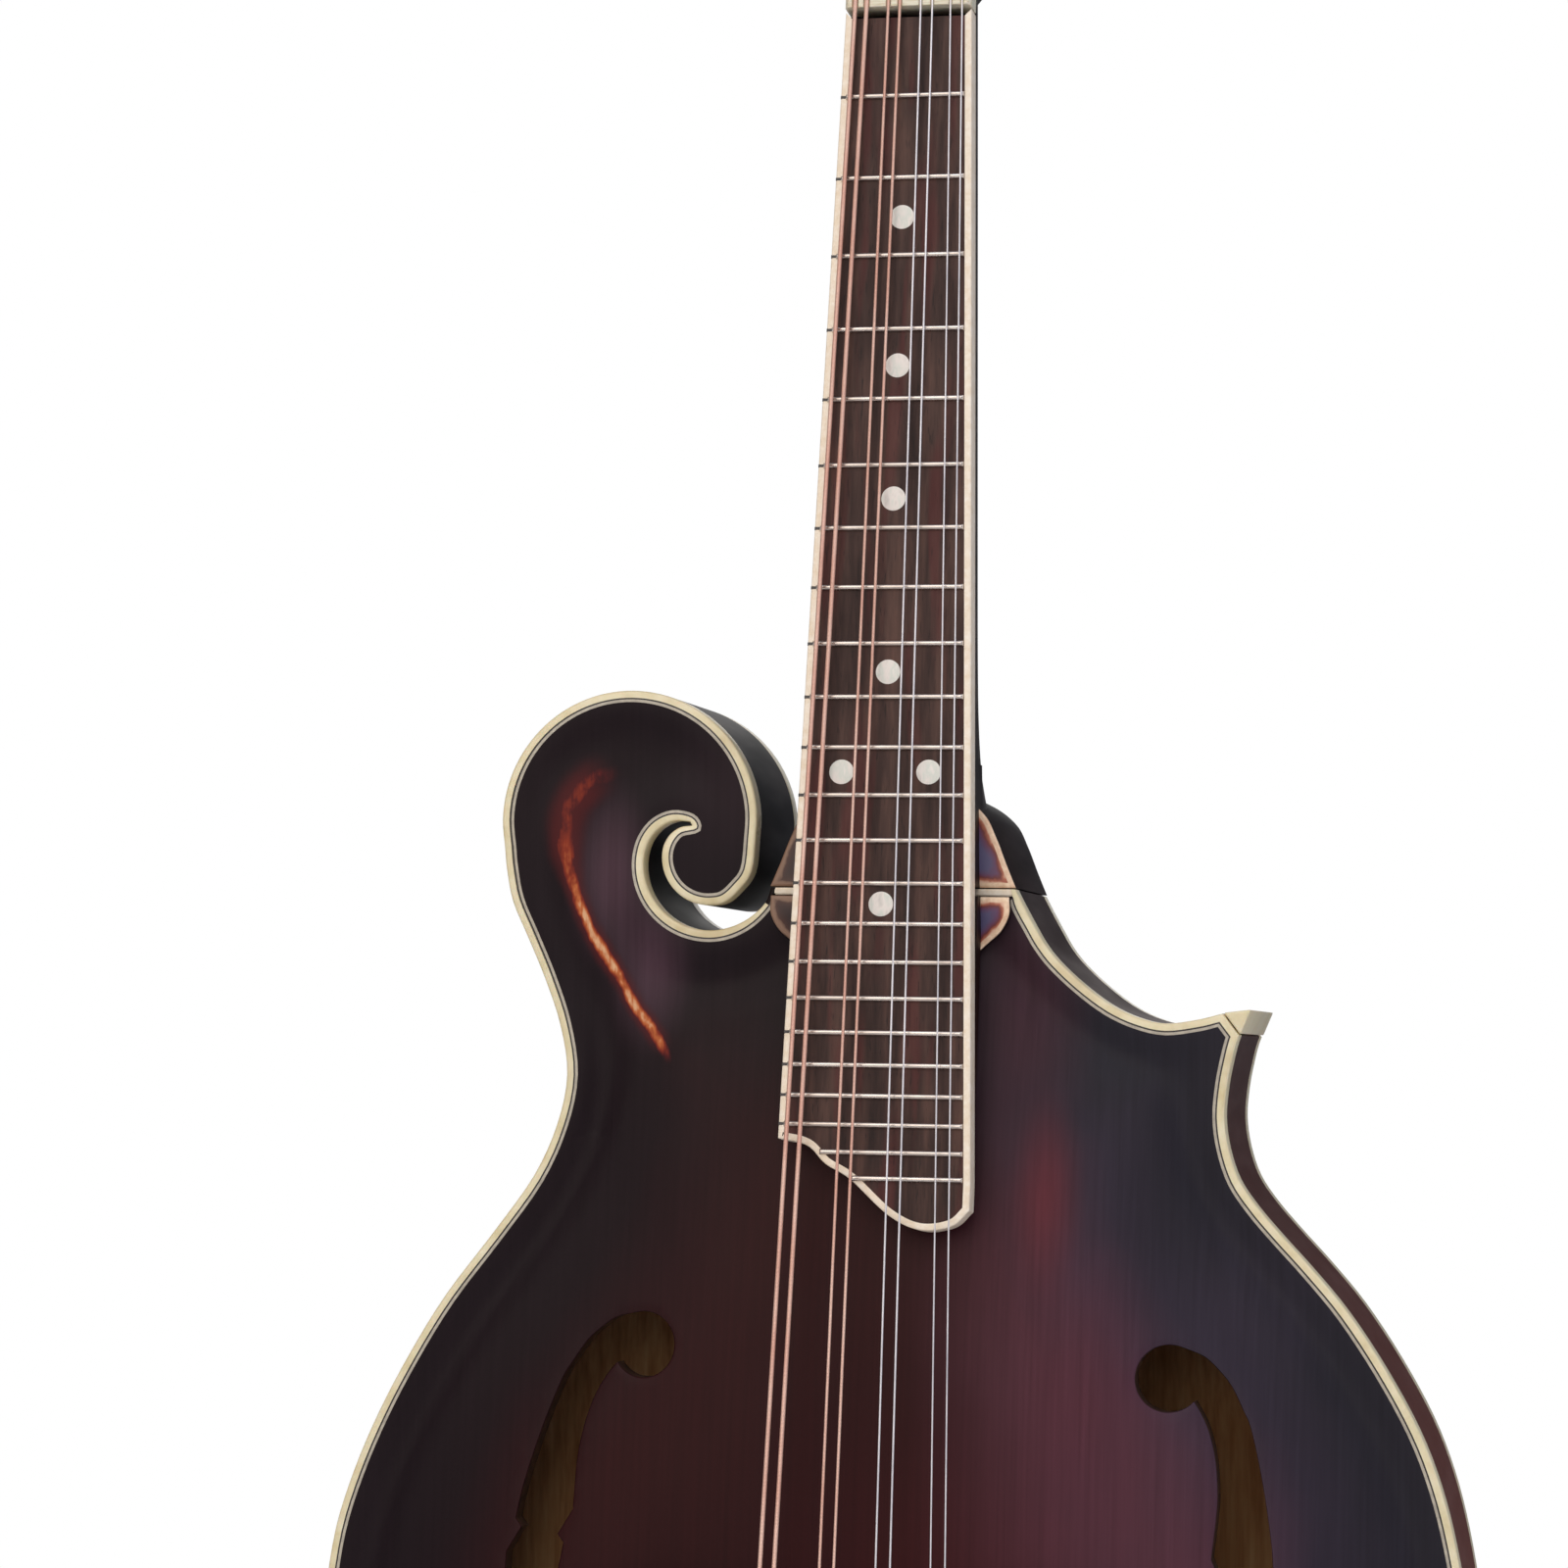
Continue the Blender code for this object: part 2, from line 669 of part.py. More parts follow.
def head_outline():
    """Headstock outline in its own frame: the bass side curls over, the treble side ends in a horn."""
    right = [(0.0152, 0.003), (0.0180, 0.014), (0.0262, 0.0235), (0.0318, 0.034), (0.0312, 0.052)]
    right += [(0.0295, 0.078), (0.0292, 0.104), (0.0312, 0.120), (0.0365, 0.131)]
    crown = [(0.0365, 0.131), (0.0280, 0.1345), (0.0190, 0.1335), (0.0110, 0.1400), (0.0030, 0.1520)]
    crown += [(-0.0090, 0.1615), (-0.0220, 0.1625), (-0.0325, 0.1560), (-0.0362, 0.1450), (-0.0330, 0.1350)]
    left = [(-0.0330, 0.1350), (-0.0285, 0.1270), (-0.0288, 0.104), (-0.0295, 0.078), (-0.0312, 0.052)]
    left += [(-0.0318, 0.034), (-0.0262, 0.0235), (-0.0180, 0.014), (-0.0152, 0.003)]
    loop = [(0.0142, 0.0)] + spline(right, 2) + spline(crown, 2) + spline(left, 2)
    return loop + [left[-1], (-0.0142, 0.0)]


def post_places():
    """(course name, string of the pair, side, x, z) for each tuner, in the headstock's frame."""
    places = []
    for i, (course, number) in enumerate((("g", 1), ("g", 2), ("d", 1), ("d", 2))):
        places.append((course + str(number), -1, -POST_X, POST_FIRST + i * POST_SPACING))
    for i, (course, number) in enumerate((("e", 2), ("e", 1), ("a", 2), ("a", 1))):
        places.append((course + str(number), 1, POST_X, POST_FIRST + i * POST_SPACING))
    return places


def post_holes(radius):
    return [[(x + a, z + b) for a, b in circle(radius, 10)] for _, _, x, z in post_places()]


def channel_cutter(name):
    low = (-CHANNEL_HALF, BOARD_THICKNESS - 0.004, -CHANNEL_BOTTOM)
    high = (CHANNEL_HALF, BOARD_THICKNESS + CHANNEL_DEPTH, CHANNEL_TOP)
    return finish(name, box(low, high), None, BOARD_FRAME)


def flat(value):
    return lambda x, z: value


def build_neck(wood, metal):
    neck = finish("neck", loft([neck_ring(d, t) for d, t in NECK_STATIONS]), wood["side"])
    heel = loft([[(x, y, z) for x, z in heel_outline()] for y in (HEEL_FRONT, BACK)])
    boolean(neck, finish("neck_heel", heel, None), "UNION")
    riser = []
    for z in (-0.1660, JOINT_Z):
        half, y = board_width(-z) / 2 - 0.0001, board_plane(z, BOARD_THICKNESS + GAP)
        riser.append([(-half, y, z), (half, y, z), (half, FRONT + 0.006, z), (-half, FRONT + 0.006, z)])
    boolean(neck, finish("neck_riser", loft(riser), None), "UNION")
    head = relief([head_outline()] + post_holes(POST_HOLE), flat(0), flat(HEAD_THICKNESS))
    boolean(neck, finish("neck_head", head, None, HEAD_FRAME), "UNION")
    boolean(neck, tenon("neck_tenon", 0, None), "UNION")
    boolean(neck, channel_cutter("neck_channel"), "DIFFERENCE")

    rod = [(-CHANNEL_BOTTOM + 0.002, ROD_RADIUS), (0.008, ROD_RADIUS)]
    nut = [(0.008, 0.0029), (0.0155, 0.0029)]
    rod_body = loft(turned(rod + nut, 8, "Z"))
    shift = Matrix.Translation((0, BOARD_THICKNESS + 0.0058, 0))
    finish("truss_rod", rod_body, metal["steel"], BOARD_FRAME @ shift)

    face = relief(
        [head_outline()] + post_holes(POST_HOLE) + [truss_window()],
        flat(-GAP - OVERLAY_THICKNESS), flat(-GAP))
    overlay = finish("head_overlay", face, wood["black"], HEAD_FRAME)
    foot = finish("nut_clearance", box((-0.02, -0.010, -0.006), (0.02, 0.004, 0.0006)), None, HEAD_FRAME)
    boolean(overlay, foot, "DIFFERENCE")
    cover = [(-0.0075, 0.0015), (0.0075, 0.0015), (0.0082, 0.010), (0.0070, 0.019), (0.0030, 0.027),
             (0.0, 0.030), (-0.0030, 0.027), (-0.0070, 0.019), (-0.0082, 0.010)]
    front = -GAP - OVERLAY_THICKNESS - GAP
    finish("truss_rod_cover", relief([cover], flat(front - 0.0016), flat(front)), wood["black"], HEAD_FRAME)


def truss_window():
    half = CHANNEL_HALF + 0.0002
    return [(-half, 0.003), (half, 0.003), (half, 0.0175), (-half, 0.0175)]


def build_cross_strip(wood):
    """The light strip that crosses the neck joint in front of the heel."""
    half = JOINT_HALF - BINDING_WIDTH - 0.0012
    low = (-half, FRONT + 0.0002, JOINT_Z - GAP - JOINT_STRIP)
    high = (half, FRONT + BINDING_DEPTH - 0.0004, JOINT_Z - GAP)
    finish("neck_joint_strip", box(low, high), wood["binding"])


RISER_LOBE = [(0.0264, -0.2010), (0.0246, -0.2045), (0.0218, -0.2070)]
RISER_LOBE_END = -0.2088
RISER_END = -0.2480
RISER_FLANK = 0.0022
RISER_SEAT = 0.0005
RISER_STEP = 0.0100
RISER_MARGIN = 0.35


def riser_neck():
    """Half width of the riser's tongue."""
    return board_width(-RISER_END) / 2 - 0.0008


def riser_outline():
    neck = riser_neck()
    joint = JOINT_Z - GAP - JOINT_STRIP - GAP
    right = [(0.0225, joint)] + RISER_LOBE
    right += [(neck, RISER_LOBE_END + (RISER_END - RISER_LOBE_END) * i / 4) for i in range(5)]
    end = [(neck * share, RISER_END) for share in (0.5, 0.0, -0.5)]
    return right + end + [(-x, z) for x, z in reversed(right)]


def build_riser(wood):
    """The support under the end of the fingerboard: rounded flanks, then a narrow tongue."""

    def seat(x, z):
        return top_outer(x, z) - RISER_SEAT

    def crest(x, z):
        flank = abs(x) > riser_neck() + 0.0004
        return seat(x, z) - RISER_FLANK if flank else board_plane(z, BOARD_THICKNESS + GAP)

    finish("extension_riser", relief([riser_outline()], crest, seat, RISER_STEP, RISER_MARGIN), wood["side"])


# Fingerboard with its frets, binding and nut
BOARD_END = [
    (-0.0210, 0.2508),
    (-0.0146, 0.2522),
    (-0.0104, 0.2561),
    (-0.0049, 0.2593),
    (0.0035, 0.2667),
    (0.0105, 0.2698),
    (0.0174, 0.2689),
    (0.0212, 0.2655),
]


def fret_distance(number):
    return SCALE_LENGTH * (1 - 2 ** (-number / 12))


def board_line():
    """The board's edge in its own frame, from the treble side of the nut round the end to the bass side."""
    treble = [(board_width(d) / 2, -d) for d in (0.0, 0.070, 0.140, 0.200, 0.240, 0.2600)]
    end = [(x, -d) for x, d in spline(list(reversed(BOARD_END)), 2)] + [(BOARD_END[0][0], -BOARD_END[0][1])]
    bass = [(-board_width(d) / 2, -d) for d in (0.240, 0.200, 0.140, 0.070, 0.0)]
    return treble + end + bass


def inset_board(line, distance):
    """Move the board's edge inwards; its two ends slide along the nut."""
    moved = []
    for i, here in enumerate(line):
        before, after = line[max(i - 1, 0)], line[min(i + 1, len(line) - 1)]
        a = Vector((here[0] - before[0], here[1] - before[1]))
        b = Vector((after[0] - here[0], after[1] - here[1]))
        if i in (0, len(line) - 1):
            moved.append((here[0] - math.copysign(distance, here[0]), here[1]))
            continue
        a.normalize()
        b.normalize()
        normal = Vector((a.y + b.y, -a.x - b.x)).normalized()
        spread = max(normal.dot(Vector((a.y, -a.x))), 0.5)
        moved.append((here[0] + normal.x * distance / spread, here[1] + normal.y * distance / spread))
    return moved


def build_board(wood):
    line = board_line()
    inner = inset_board(line, BOARD_EDGE + 0.0002)
    profile = [(-0.280, BOARD_THICKNESS), (-0.280, 0.0)]
    for number in range(FRET_COUNT, 0, -1):
        z = -fret_distance(number)
        if z < -0.2700:
            continue
        half = FRET_WIDTH / 2
        profile += [(z - half, 0.0), (z - half * 0.55, -FRET_HEIGHT), (z + half * 0.55, -FRET_HEIGHT), (z + half, 0.0)]
    profile += [(-GAP, 0.0), (-GAP, BOARD_THICKNESS)]
    blank = loft([[(x, y, z) for z, y in profile] for x in (-0.03, 0.03)])
    board = finish("fingerboard", blank, wood["board"], BOARD_FRAME, smooth=False)
    plan = loft([[(x, y, z) for x, z in inner] for y in (-0.003, BOARD_THICKNESS + 0.001)])
    boolean(board, finish("board_plan", plan, None, BOARD_FRAME), "INTERSECT")

    rings = []
    for a, b in zip(line, inset_board(line, BOARD_EDGE)):
        rings.append([(a[0], 0, a[1]), (b[0], 0, b[1]), (b[0], BOARD_THICKNESS, b[1]), (a[0], BOARD_THICKNESS, a[1])])
    for ring in (rings[0], rings[-1]):
        ring[:] = [(x, y, z - GAP) for x, y, z in ring]
    finish("fingerboard_binding", loft(rings), wood["binding"], BOARD_FRAME)
    build_nut(wood)


def string_layout():
    """(name, radius, x at the nut, x at the bridge) for the eight strings, bass to treble."""
    out = []
    for name, at_nut, at_bridge, radius in zip(COURSE_NAMES, NUT_COURSES, BRIDGE_COURSES, STRING_RADII):
        for number, sign in ((1, -1), (2, 1)):
            x0 = at_nut + sign * PAIR_AT_NUT / 2
            x1 = at_bridge + sign * PAIR_AT_BRIDGE / 2
            out.append((name + str(number), radius, x0, x1))
    return out


def build_nut(wood):
    half = BOARD_WIDTH_NUT / 2
    crown = -STRING_LIFT_NUT - 0.0003
    ring = [(-half, BOARD_THICKNESS), (-half, crown + 0.0012), (-half + 0.0008, crown)]
    for _, radius, x, _ in string_layout():
        slot = radius + 0.00025
        ring += [(x - slot, crown), (x - slot * 0.7, -STRING_LIFT_NUT + radius + 0.0002)]
        ring += [(x + slot * 0.7, -STRING_LIFT_NUT + radius + 0.0002), (x + slot, crown)]
    ring += [(half - 0.0008, crown), (half, crown + 0.0012), (half, BOARD_THICKNESS)]
    body = loft([[(x, y, z) for x, y in ring] for z in (GAP, NUT_THICKNESS - GAP)])
    finish("nut", body, wood["bone"], BOARD_FRAME, smooth=False)


# Tuners, in the headstock's frame: a post with its gear, and a shaft with its worm and button
PLATE_FRONT = HEAD_THICKNESS + GAP
PLATE_REAR = PLATE_FRONT + PLATE_METAL
EAR_OFFSET = 0.0051
EAR_THICKNESS = 0.0014
EAR_HALF = 0.003
EAR_HOLE = 0.0019
SHAFT_INNER = 0.0070
SHAFT_OUTER = 0.0195
BUTTON_HALF = 0.0070
BUTTON_FLAT = 0.0042


def build_tuners(metal, wood):
    for side, sign in (("bass", -1), ("treble", 1)):
        build_tuner_plate(side, sign, metal)
    for name, sign, x, z in post_places():
        build_post(name, x, z, metal)
        build_shaft(name, sign, x, z - WORM_CENTRES, metal, wood)


def build_tuner_plate(side, sign, metal):
    low = POST_FIRST - WORM_CENTRES - 0.006
    high = POST_FIRST + 3 * POST_SPACING + 0.009
    inner, outer = sign * (POST_X - 0.0075), sign * (POST_X + 0.0085)
    corner = 0.003 * sign
    outline = [(inner, low), (outer - corner, low), (outer, low + 0.003), (outer, high - 0.003),
               (outer - corner, high), (inner, high)]
    holes = [[(x + a, z + b) for a, b in circle(POST_HOLE, 10)] for _, s, x, z in post_places() if s == sign]
    plate = finish("tuner_plate_" + side, relief([outline] + holes, flat(PLATE_FRONT), flat(PLATE_REAR)),
                   metal["nickel"], HEAD_FRAME)
    for name, s, x, z in post_places():
        if s != sign:
            continue
        middle = z - WORM_CENTRES
        for k in (-1, 1):
            x0 = x + k * EAR_OFFSET - EAR_THICKNESS / 2
            tall = GEAR_CENTRE_BACK + EAR_HALF
            ear = box((x0, PLATE_REAR - 0.0004, middle - EAR_HALF), (x0 + EAR_THICKNESS, tall, middle + EAR_HALF))
            boolean(plate, finish("ear_%s_%d" % (name, k), ear, None, HEAD_FRAME), "UNION")
        bore = loft(turned([(-0.009, EAR_HOLE), (0.009, EAR_HOLE)], 8, "X"))
        spot = HEAD_FRAME @ Matrix.Translation((x, GEAR_CENTRE_BACK, middle))
        boolean(plate, finish("ear_bore_" + name, bore, None, spot), "DIFFERENCE")


def build_post(name, x, z, metal):
    """Post, gear and gear screw in one piece, turned about the frame's y axis."""
    front = -GAP - OVERLAY_THICKNESS
    gear_front = GEAR_CENTRE_BACK - GEAR_WIDTH / 2
    gear_back = GEAR_CENTRE_BACK + GEAR_WIDTH / 2
    teeth = 2 * GEAR_TEETH
    profile = [(front - POST_REACH, 0.0022), (front - POST_REACH + 0.0008, POST_RADIUS),
               (gear_front, POST_RADIUS)]
    rings = turned(profile, 10, "Y")
    body = loft(rings)
    place = HEAD_FRAME @ Matrix.Translation((x, 0, z))
    post = finish("tuner_post_" + name, body, metal["steel"], place)
    ring = []
    for i in range(teeth):
        a = -math.pi / 2 + math.pi * i / GEAR_TEETH
        r = GEAR_PITCH_RADIUS + (GEAR_TOOTH if i % 2 == 0 else -GEAR_TOOTH)
        ring.append((r * math.cos(a), r * math.sin(a)))
    gear = loft([[(a, y, b) for a, b in ring] for y in (gear_front - 0.0002, gear_back)])
    boolean(post, finish("gear_" + name, gear, None, place), "UNION")
    screw = loft(turned([(gear_back - 0.0004, 0.0026), (gear_back + 0.0012, 0.0022)], 8, "Y"))
    boolean(post, finish("gear_screw_" + name, screw, None, place), "UNION")
    return post


def build_shaft(name, sign, x, z, metal, wood):
    """Worm, shaft and button about the frame's x axis; the thread is a sine along a helix."""
    lead = 2 * math.pi * GEAR_PITCH_RADIUS / GEAR_TEETH
    segments = 6
    half = WORM_TURNS * lead / 2
    rings = []

    def plain(along, radius_y, radius_z):
        rings.append([(along, radius_y * math.cos(2 * math.pi * k / segments),
                       radius_z * math.sin(2 * math.pi * k / segments)) for k in range(segments)])

    plain(-sign * SHAFT_INNER, SHAFT_RADIUS, SHAFT_RADIUS)
    plain(-sign * (half + 0.0004), SHAFT_RADIUS, SHAFT_RADIUS)
    steps = WORM_TURNS * 4
    for i in range(steps + 1):
        along = -sign * half + sign * 2 * half * i / steps
        ring = []
        for k in range(segments):
            turn = 2 * math.pi * k / segments
            wave = math.cos(2 * math.pi * (along - lead / 4) / lead - turn)
            r = WORM_RADIUS + WORM_CREST * wave
            ring.append((along, r * math.cos(turn), r * math.sin(turn)))
        rings.append(ring)
    plain(sign * (half + 0.0004), SHAFT_RADIUS, SHAFT_RADIUS)
    plain(sign * SHAFT_OUTER, SHAFT_RADIUS, SHAFT_RADIUS)
    for share, wide in ((0.02, 0.45), (0.15, 0.80), (0.5, 1.0), (0.85, 0.80), (1.0, 0.40)):
        plain(sign * (SHAFT_OUTER + BUTTON_LENGTH * share), BUTTON_FLAT * wide, BUTTON_HALF * wide)
    place = HEAD_FRAME @ Matrix.Translation((x, GEAR_CENTRE_BACK, z))
    return finish("tuner_button_" + name, loft(rings), wood["pearl"], place)


# Bridge, measured out of the rim's front plane
BRIDGE_Z = -SCALE_LENGTH * math.cos(NECK_ANGLE)
WHEEL_FRONT = BRIDGE_BASE_TOP + GAP + WHEEL_THICKNESS
SADDLE_FOOT = WHEEL_FRONT + GAP


def string_point(x, distance, lift):
    """World point over the fingerboard's plane."""
    return BOARD_FRAME @ Vector((x, -lift, -distance))


def saddle_height():
    """How far the strings' middles lie in front of the rim at the bridge."""
    return FRONT - string_point(0, SCALE_LENGTH, STRING_LIFT_BRIDGE).y


def build_bridge(wood, metal):
    def base_top(x, z):
        drop = max(0.0, abs(x) - 0.038) / 0.019
        return FRONT - BRIDGE_BASE_TOP + 0.0028 * min(drop, 1.0) ** 2

    def base_foot(x, z):
        rise = 0.0022 if abs(x) < 0.0245 else 0.0
        return top_outer(x, z) - 0.0003 - rise

    half = BRIDGE_BASE_WIDTH / 2
    stations = [-BRIDGE_BASE_HALF + BRIDGE_BASE_HALF * 2 * i / 12 for i in range(13)]
    low = [(x, BRIDGE_Z - half) for x in stations]
    high = [(x, BRIDGE_Z + half) for x in reversed(stations)]
    finish("bridge_base", relief([low + high], base_top, base_foot), wood["board"])
    place = {}
    for side, sign in (("bass", -1), ("treble", 1)):
        place[side] = BODY_FRAME @ Matrix.Translation((sign * STUD_X, FRONT, BRIDGE_Z))
        stud = loft(turned([(-BRIDGE_BASE_TOP - 0.0002, STUD_RADIUS), (-STUD_TOP, STUD_RADIUS)], 10, "Y"))
        finish("bridge_stud_" + side, stud, metal["steel"], place[side])
        back, front = -BRIDGE_BASE_TOP - GAP, -WHEEL_FRONT
        hole = STUD_RADIUS + STUD_CLEARANCE
        wheel = turned_ring([(back, hole), (back, WHEEL_RADIUS), (front, WHEEL_RADIUS), (front, hole)], 16, "Y")
        finish("thumbwheel_" + side, wheel, metal["nickel"], place[side])
    build_saddle(wood, place)


def build_saddle(wood, place):
    crown = saddle_height() - 0.0002
    profile = []
    for x, lift in saddle_crown(crown):
        profile.append((x, FRONT - lift))
    foot = FRONT - SADDLE_FOOT
    outline = [(-SADDLE_HALF, foot), (-SADDLE_HALF, foot - 0.0022)] + profile
    outline += [(SADDLE_HALF, foot - 0.0022), (SADDLE_HALF, foot)]
    narrow = FRONT - crown + SADDLE_SHOULDER
    rings = []
    for sign in (-1, 1):
        rings.append([(x, y, BRIDGE_Z + sign * (SADDLE_TOP if y < narrow else SADDLE_WIDTH) / 2) for x, y in outline])
    saddle = finish("bridge_saddle", loft(rings), wood["board"], smooth=False)
    for side, frame in place.items():
        bore = [(-SADDLE_FOOT + 0.001, STUD_RADIUS + STUD_CLEARANCE), (-STUD_TOP - GAP, STUD_RADIUS + STUD_CLEARANCE)]
        hole = finish("stud_hole_" + side, loft(turned(bore, 10, "Y")), None, frame)
        boolean(saddle, hole, "DIFFERENCE")


def saddle_crown(crown):
    """The saddle's top line: sloping ends and a notch under each string."""
    line = [(-SADDLE_HALF + 0.016, crown - 0.0012)]
    for _, radius, _, x in string_layout():
        slot = radius + 0.0003
        floor = crown - radius - 0.0002
        line += [(x - slot, crown), (x - slot * 0.6, floor), (x + slot * 0.6, floor), (x + slot, crown)]
    return line + [(SADDLE_HALF - 0.016, crown - 0.0012)]


# Tailpiece, end pin and strings
TAIL_LIFT_LOW = 0.0012
TAIL_LIFT_HIGH = 0.0175
HOOK_Z = TAIL_Z + 0.070
HOOK_SPACING = 0.0040
COVER_START = TAIL_Z + 0.019


def tail_lift(z):
    """Height of the tailpiece plate's outer face in front of the rim plane."""
    share = min(max((z - TAIL_Z) / TAIL_REACH, 0.0), 1.0)
    return TAIL_LIFT_LOW + TAIL_METAL + (TAIL_LIFT_HIGH - TAIL_LIFT_LOW) * math.sin(share * math.pi / 2)


def build_tailpiece(metal):
    outside = [(BACK - 0.010, TAIL_Z - GAP - TAIL_METAL), (FRONT - tail_lift(TAIL_Z), TAIL_Z - GAP - TAIL_METAL)]
    inside_line = [(BACK - 0.010, TAIL_Z - GAP), (FRONT - tail_lift(TAIL_Z) + TAIL_METAL, TAIL_Z - GAP)]
    for i in range(1, 7):
        z = TAIL_Z + TAIL_REACH * i / 6
        outside.append((FRONT - tail_lift(z), z))
        inside_line.append((FRONT - tail_lift(z) + TAIL_METAL, z))
    ring = outside + list(reversed(inside_line))
    plate = loft([[(x, y, z) for y, z in ring] for x in (-TAIL_PLATE_HALF, TAIL_PLATE_HALF)])
    base = finish("tailpiece_base", plate, metal["nickel"], smooth=False)
    boolean(base, pin_cutter("tail_pin_hole"), "DIFFERENCE")
    for i in range(8):
        x = (i - 3.5) * HOOK_SPACING
        y = FRONT - tail_lift(HOOK_Z)
        low = (x - 0.0008, y - 0.0022, HOOK_Z - 0.0022)
        high = (x + 0.0008, y + 0.0004, HOOK_Z - 0.0006)
        boolean(base, finish("hook_%d" % i, box(low, high), None), "UNION")
    build_cover(metal)


def build_cover(metal):
    """The sliding cover: an arched shell, open at both ends, whose skirts grip the plate's edges."""

    def arch_ring(z, half, tall, foot):
        points = []
        for i in range(11):
            a = math.pi * i / 10
            c = math.cos(a)
            points.append((half * math.copysign(abs(c) ** 0.6, c), FRONT - foot - tall * math.sin(a) ** 0.75, z))
        return points

    rings = []
    for share in (0.0, 0.2, 0.4, 0.6, 0.8, 1.0):
        z = COVER_START + COVER_LENGTH * share
        foot = tail_lift(z) - COVER_SKIRT
        outer = arch_ring(z, COVER_HALF, COVER_TALL, foot)
        inner = arch_ring(z, COVER_HALF - COVER_METAL, COVER_TALL - COVER_METAL, foot)
        rings.append(outer + list(reversed(inner)))
    finish("tailpiece_cover", loft(rings), metal["nickel"])


def build_end_pin(wood):
    reach = -END_PIN_REACH
    profile = [(PIN_DEPTH, PIN_SHANK), (-GAP - TAIL_METAL - GAP, PIN_SHANK), (-GAP * 2 - TAIL_METAL, PIN_BUTTON)]
    profile = profile[:2] + [(-0.0020, PIN_BUTTON), (-0.0045, PIN_BUTTON), (-0.0075, 0.0042), (-0.0115, 0.0042)]
    profile += [(-0.0140, PIN_BUTTON), (reach + 0.0012, PIN_BUTTON), (reach, PIN_BUTTON - 0.0012)]
    place = BODY_FRAME @ Matrix.Translation((0, 0, TAIL_Z))
    finish("end_pin", loft(turned(profile, 16, "Z")), wood["black"], place)


def build_strings(metal):
    for i, (name, radius, x_nut, x_bridge) in enumerate(string_layout()):
        hook_x = (i - 3.5) * HOOK_SPACING
        hook_y = FRONT - tail_lift(HOOK_Z)
        route = [BODY_FRAME @ Vector((hook_x, hook_y - radius - 0.0003, HOOK_Z)),
                 BODY_FRAME @ Vector((hook_x, hook_y - radius - 0.0008, HOOK_Z + 0.0045))]
        route += [string_point(x_bridge, SCALE_LENGTH, STRING_LIFT_BRIDGE)]
        route += [string_point(x_nut, 0.0, STRING_LIFT_NUT), string_point(x_nut, -NUT_THICKNESS, STRING_LIFT_NUT)]
        route += [HEAD_FRAME @ p for p in post_wrap(name, radius)]
        curve = bpy.data.curves.new("string_" + name, "CURVE")
        curve.dimensions = "3D"
        curve.bevel_depth = radius
        curve.bevel_resolution = 1
        curve.use_fill_caps = True
        run = curve.splines.new("POLY")
        run.points.add(len(route) - 1)
        for point, place in zip(run.points, route):
            point.co = (place.x, place.y, place.z, 1)
        curve.materials.append(metal["bronze"] if name[0] in "gd" else metal["steel"])
        made = bpy.data.objects.new("string_" + name, curve)
        bpy.context.collection.objects.link(made)


def post_wrap(name, radius):
    """The string's approach to its post and one turn and a half round it, climbing to the face."""
    sign, x, z = next((s, x, z) for n, s, x, z in post_places() if n == name)
    bend = POST_RADIUS + radius + 0.00025
    top = -OVERLAY_THICKNESS - GAP - 0.0078
    climb = 2 * radius + 0.0006
    points = []
    for i in range(11):
        a = i * math.pi / 4.5
        points.append(Vector((x - sign * bend * math.cos(a), top + climb * a / (2 * math.pi), z + bend * math.sin(a))))
    return points


def main():
    clear_scene()
    wood = {
        "top": make_material("top_lacquer", "#3A2230", 0.35),
        "side": make_material("side_lacquer", "#2E1A1A", 0.32),
        "binding": make_material("ivory_binding", "#E8DAB6", 0.4),
        "block": make_material("plain_wood", "#B88B5A", 0.7),
        "board": make_material("rosewood", "#3D2B2B", 0.55),
        "bone": make_material("bone", "#E6DFC8", 0.45),
        "black": make_material("black_veneer", "#16130F", 0.3),
        "pearl": make_material("pearl_button", "#E7E1D2", 0.3),
    }
    metal = {
        "nickel": make_material("nickel", "#C9C4BA", 0.25, 1.0),
        "steel": make_material("steel", "#B9B9BE", 0.3, 1.0),
        "bronze": make_material("bronze_winding", "#C89A7C", 0.35, 1.0),
    }
    build_body(wood)
    build_neck(wood, metal)
    build_cross_strip(wood)
    build_riser(wood)
    build_board(wood)
    build_tuners(metal, wood)
    build_bridge(wood, metal)
    build_tailpiece(metal)
    build_end_pin(wood)
    build_strings(metal)


main()
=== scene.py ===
"""F-style mandolin: the looks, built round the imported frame."""
import math

import bmesh
import bpy
import numpy as np
from mathutils import Matrix, Vector
from mathutils.geometry import delaunay_2d_cdt


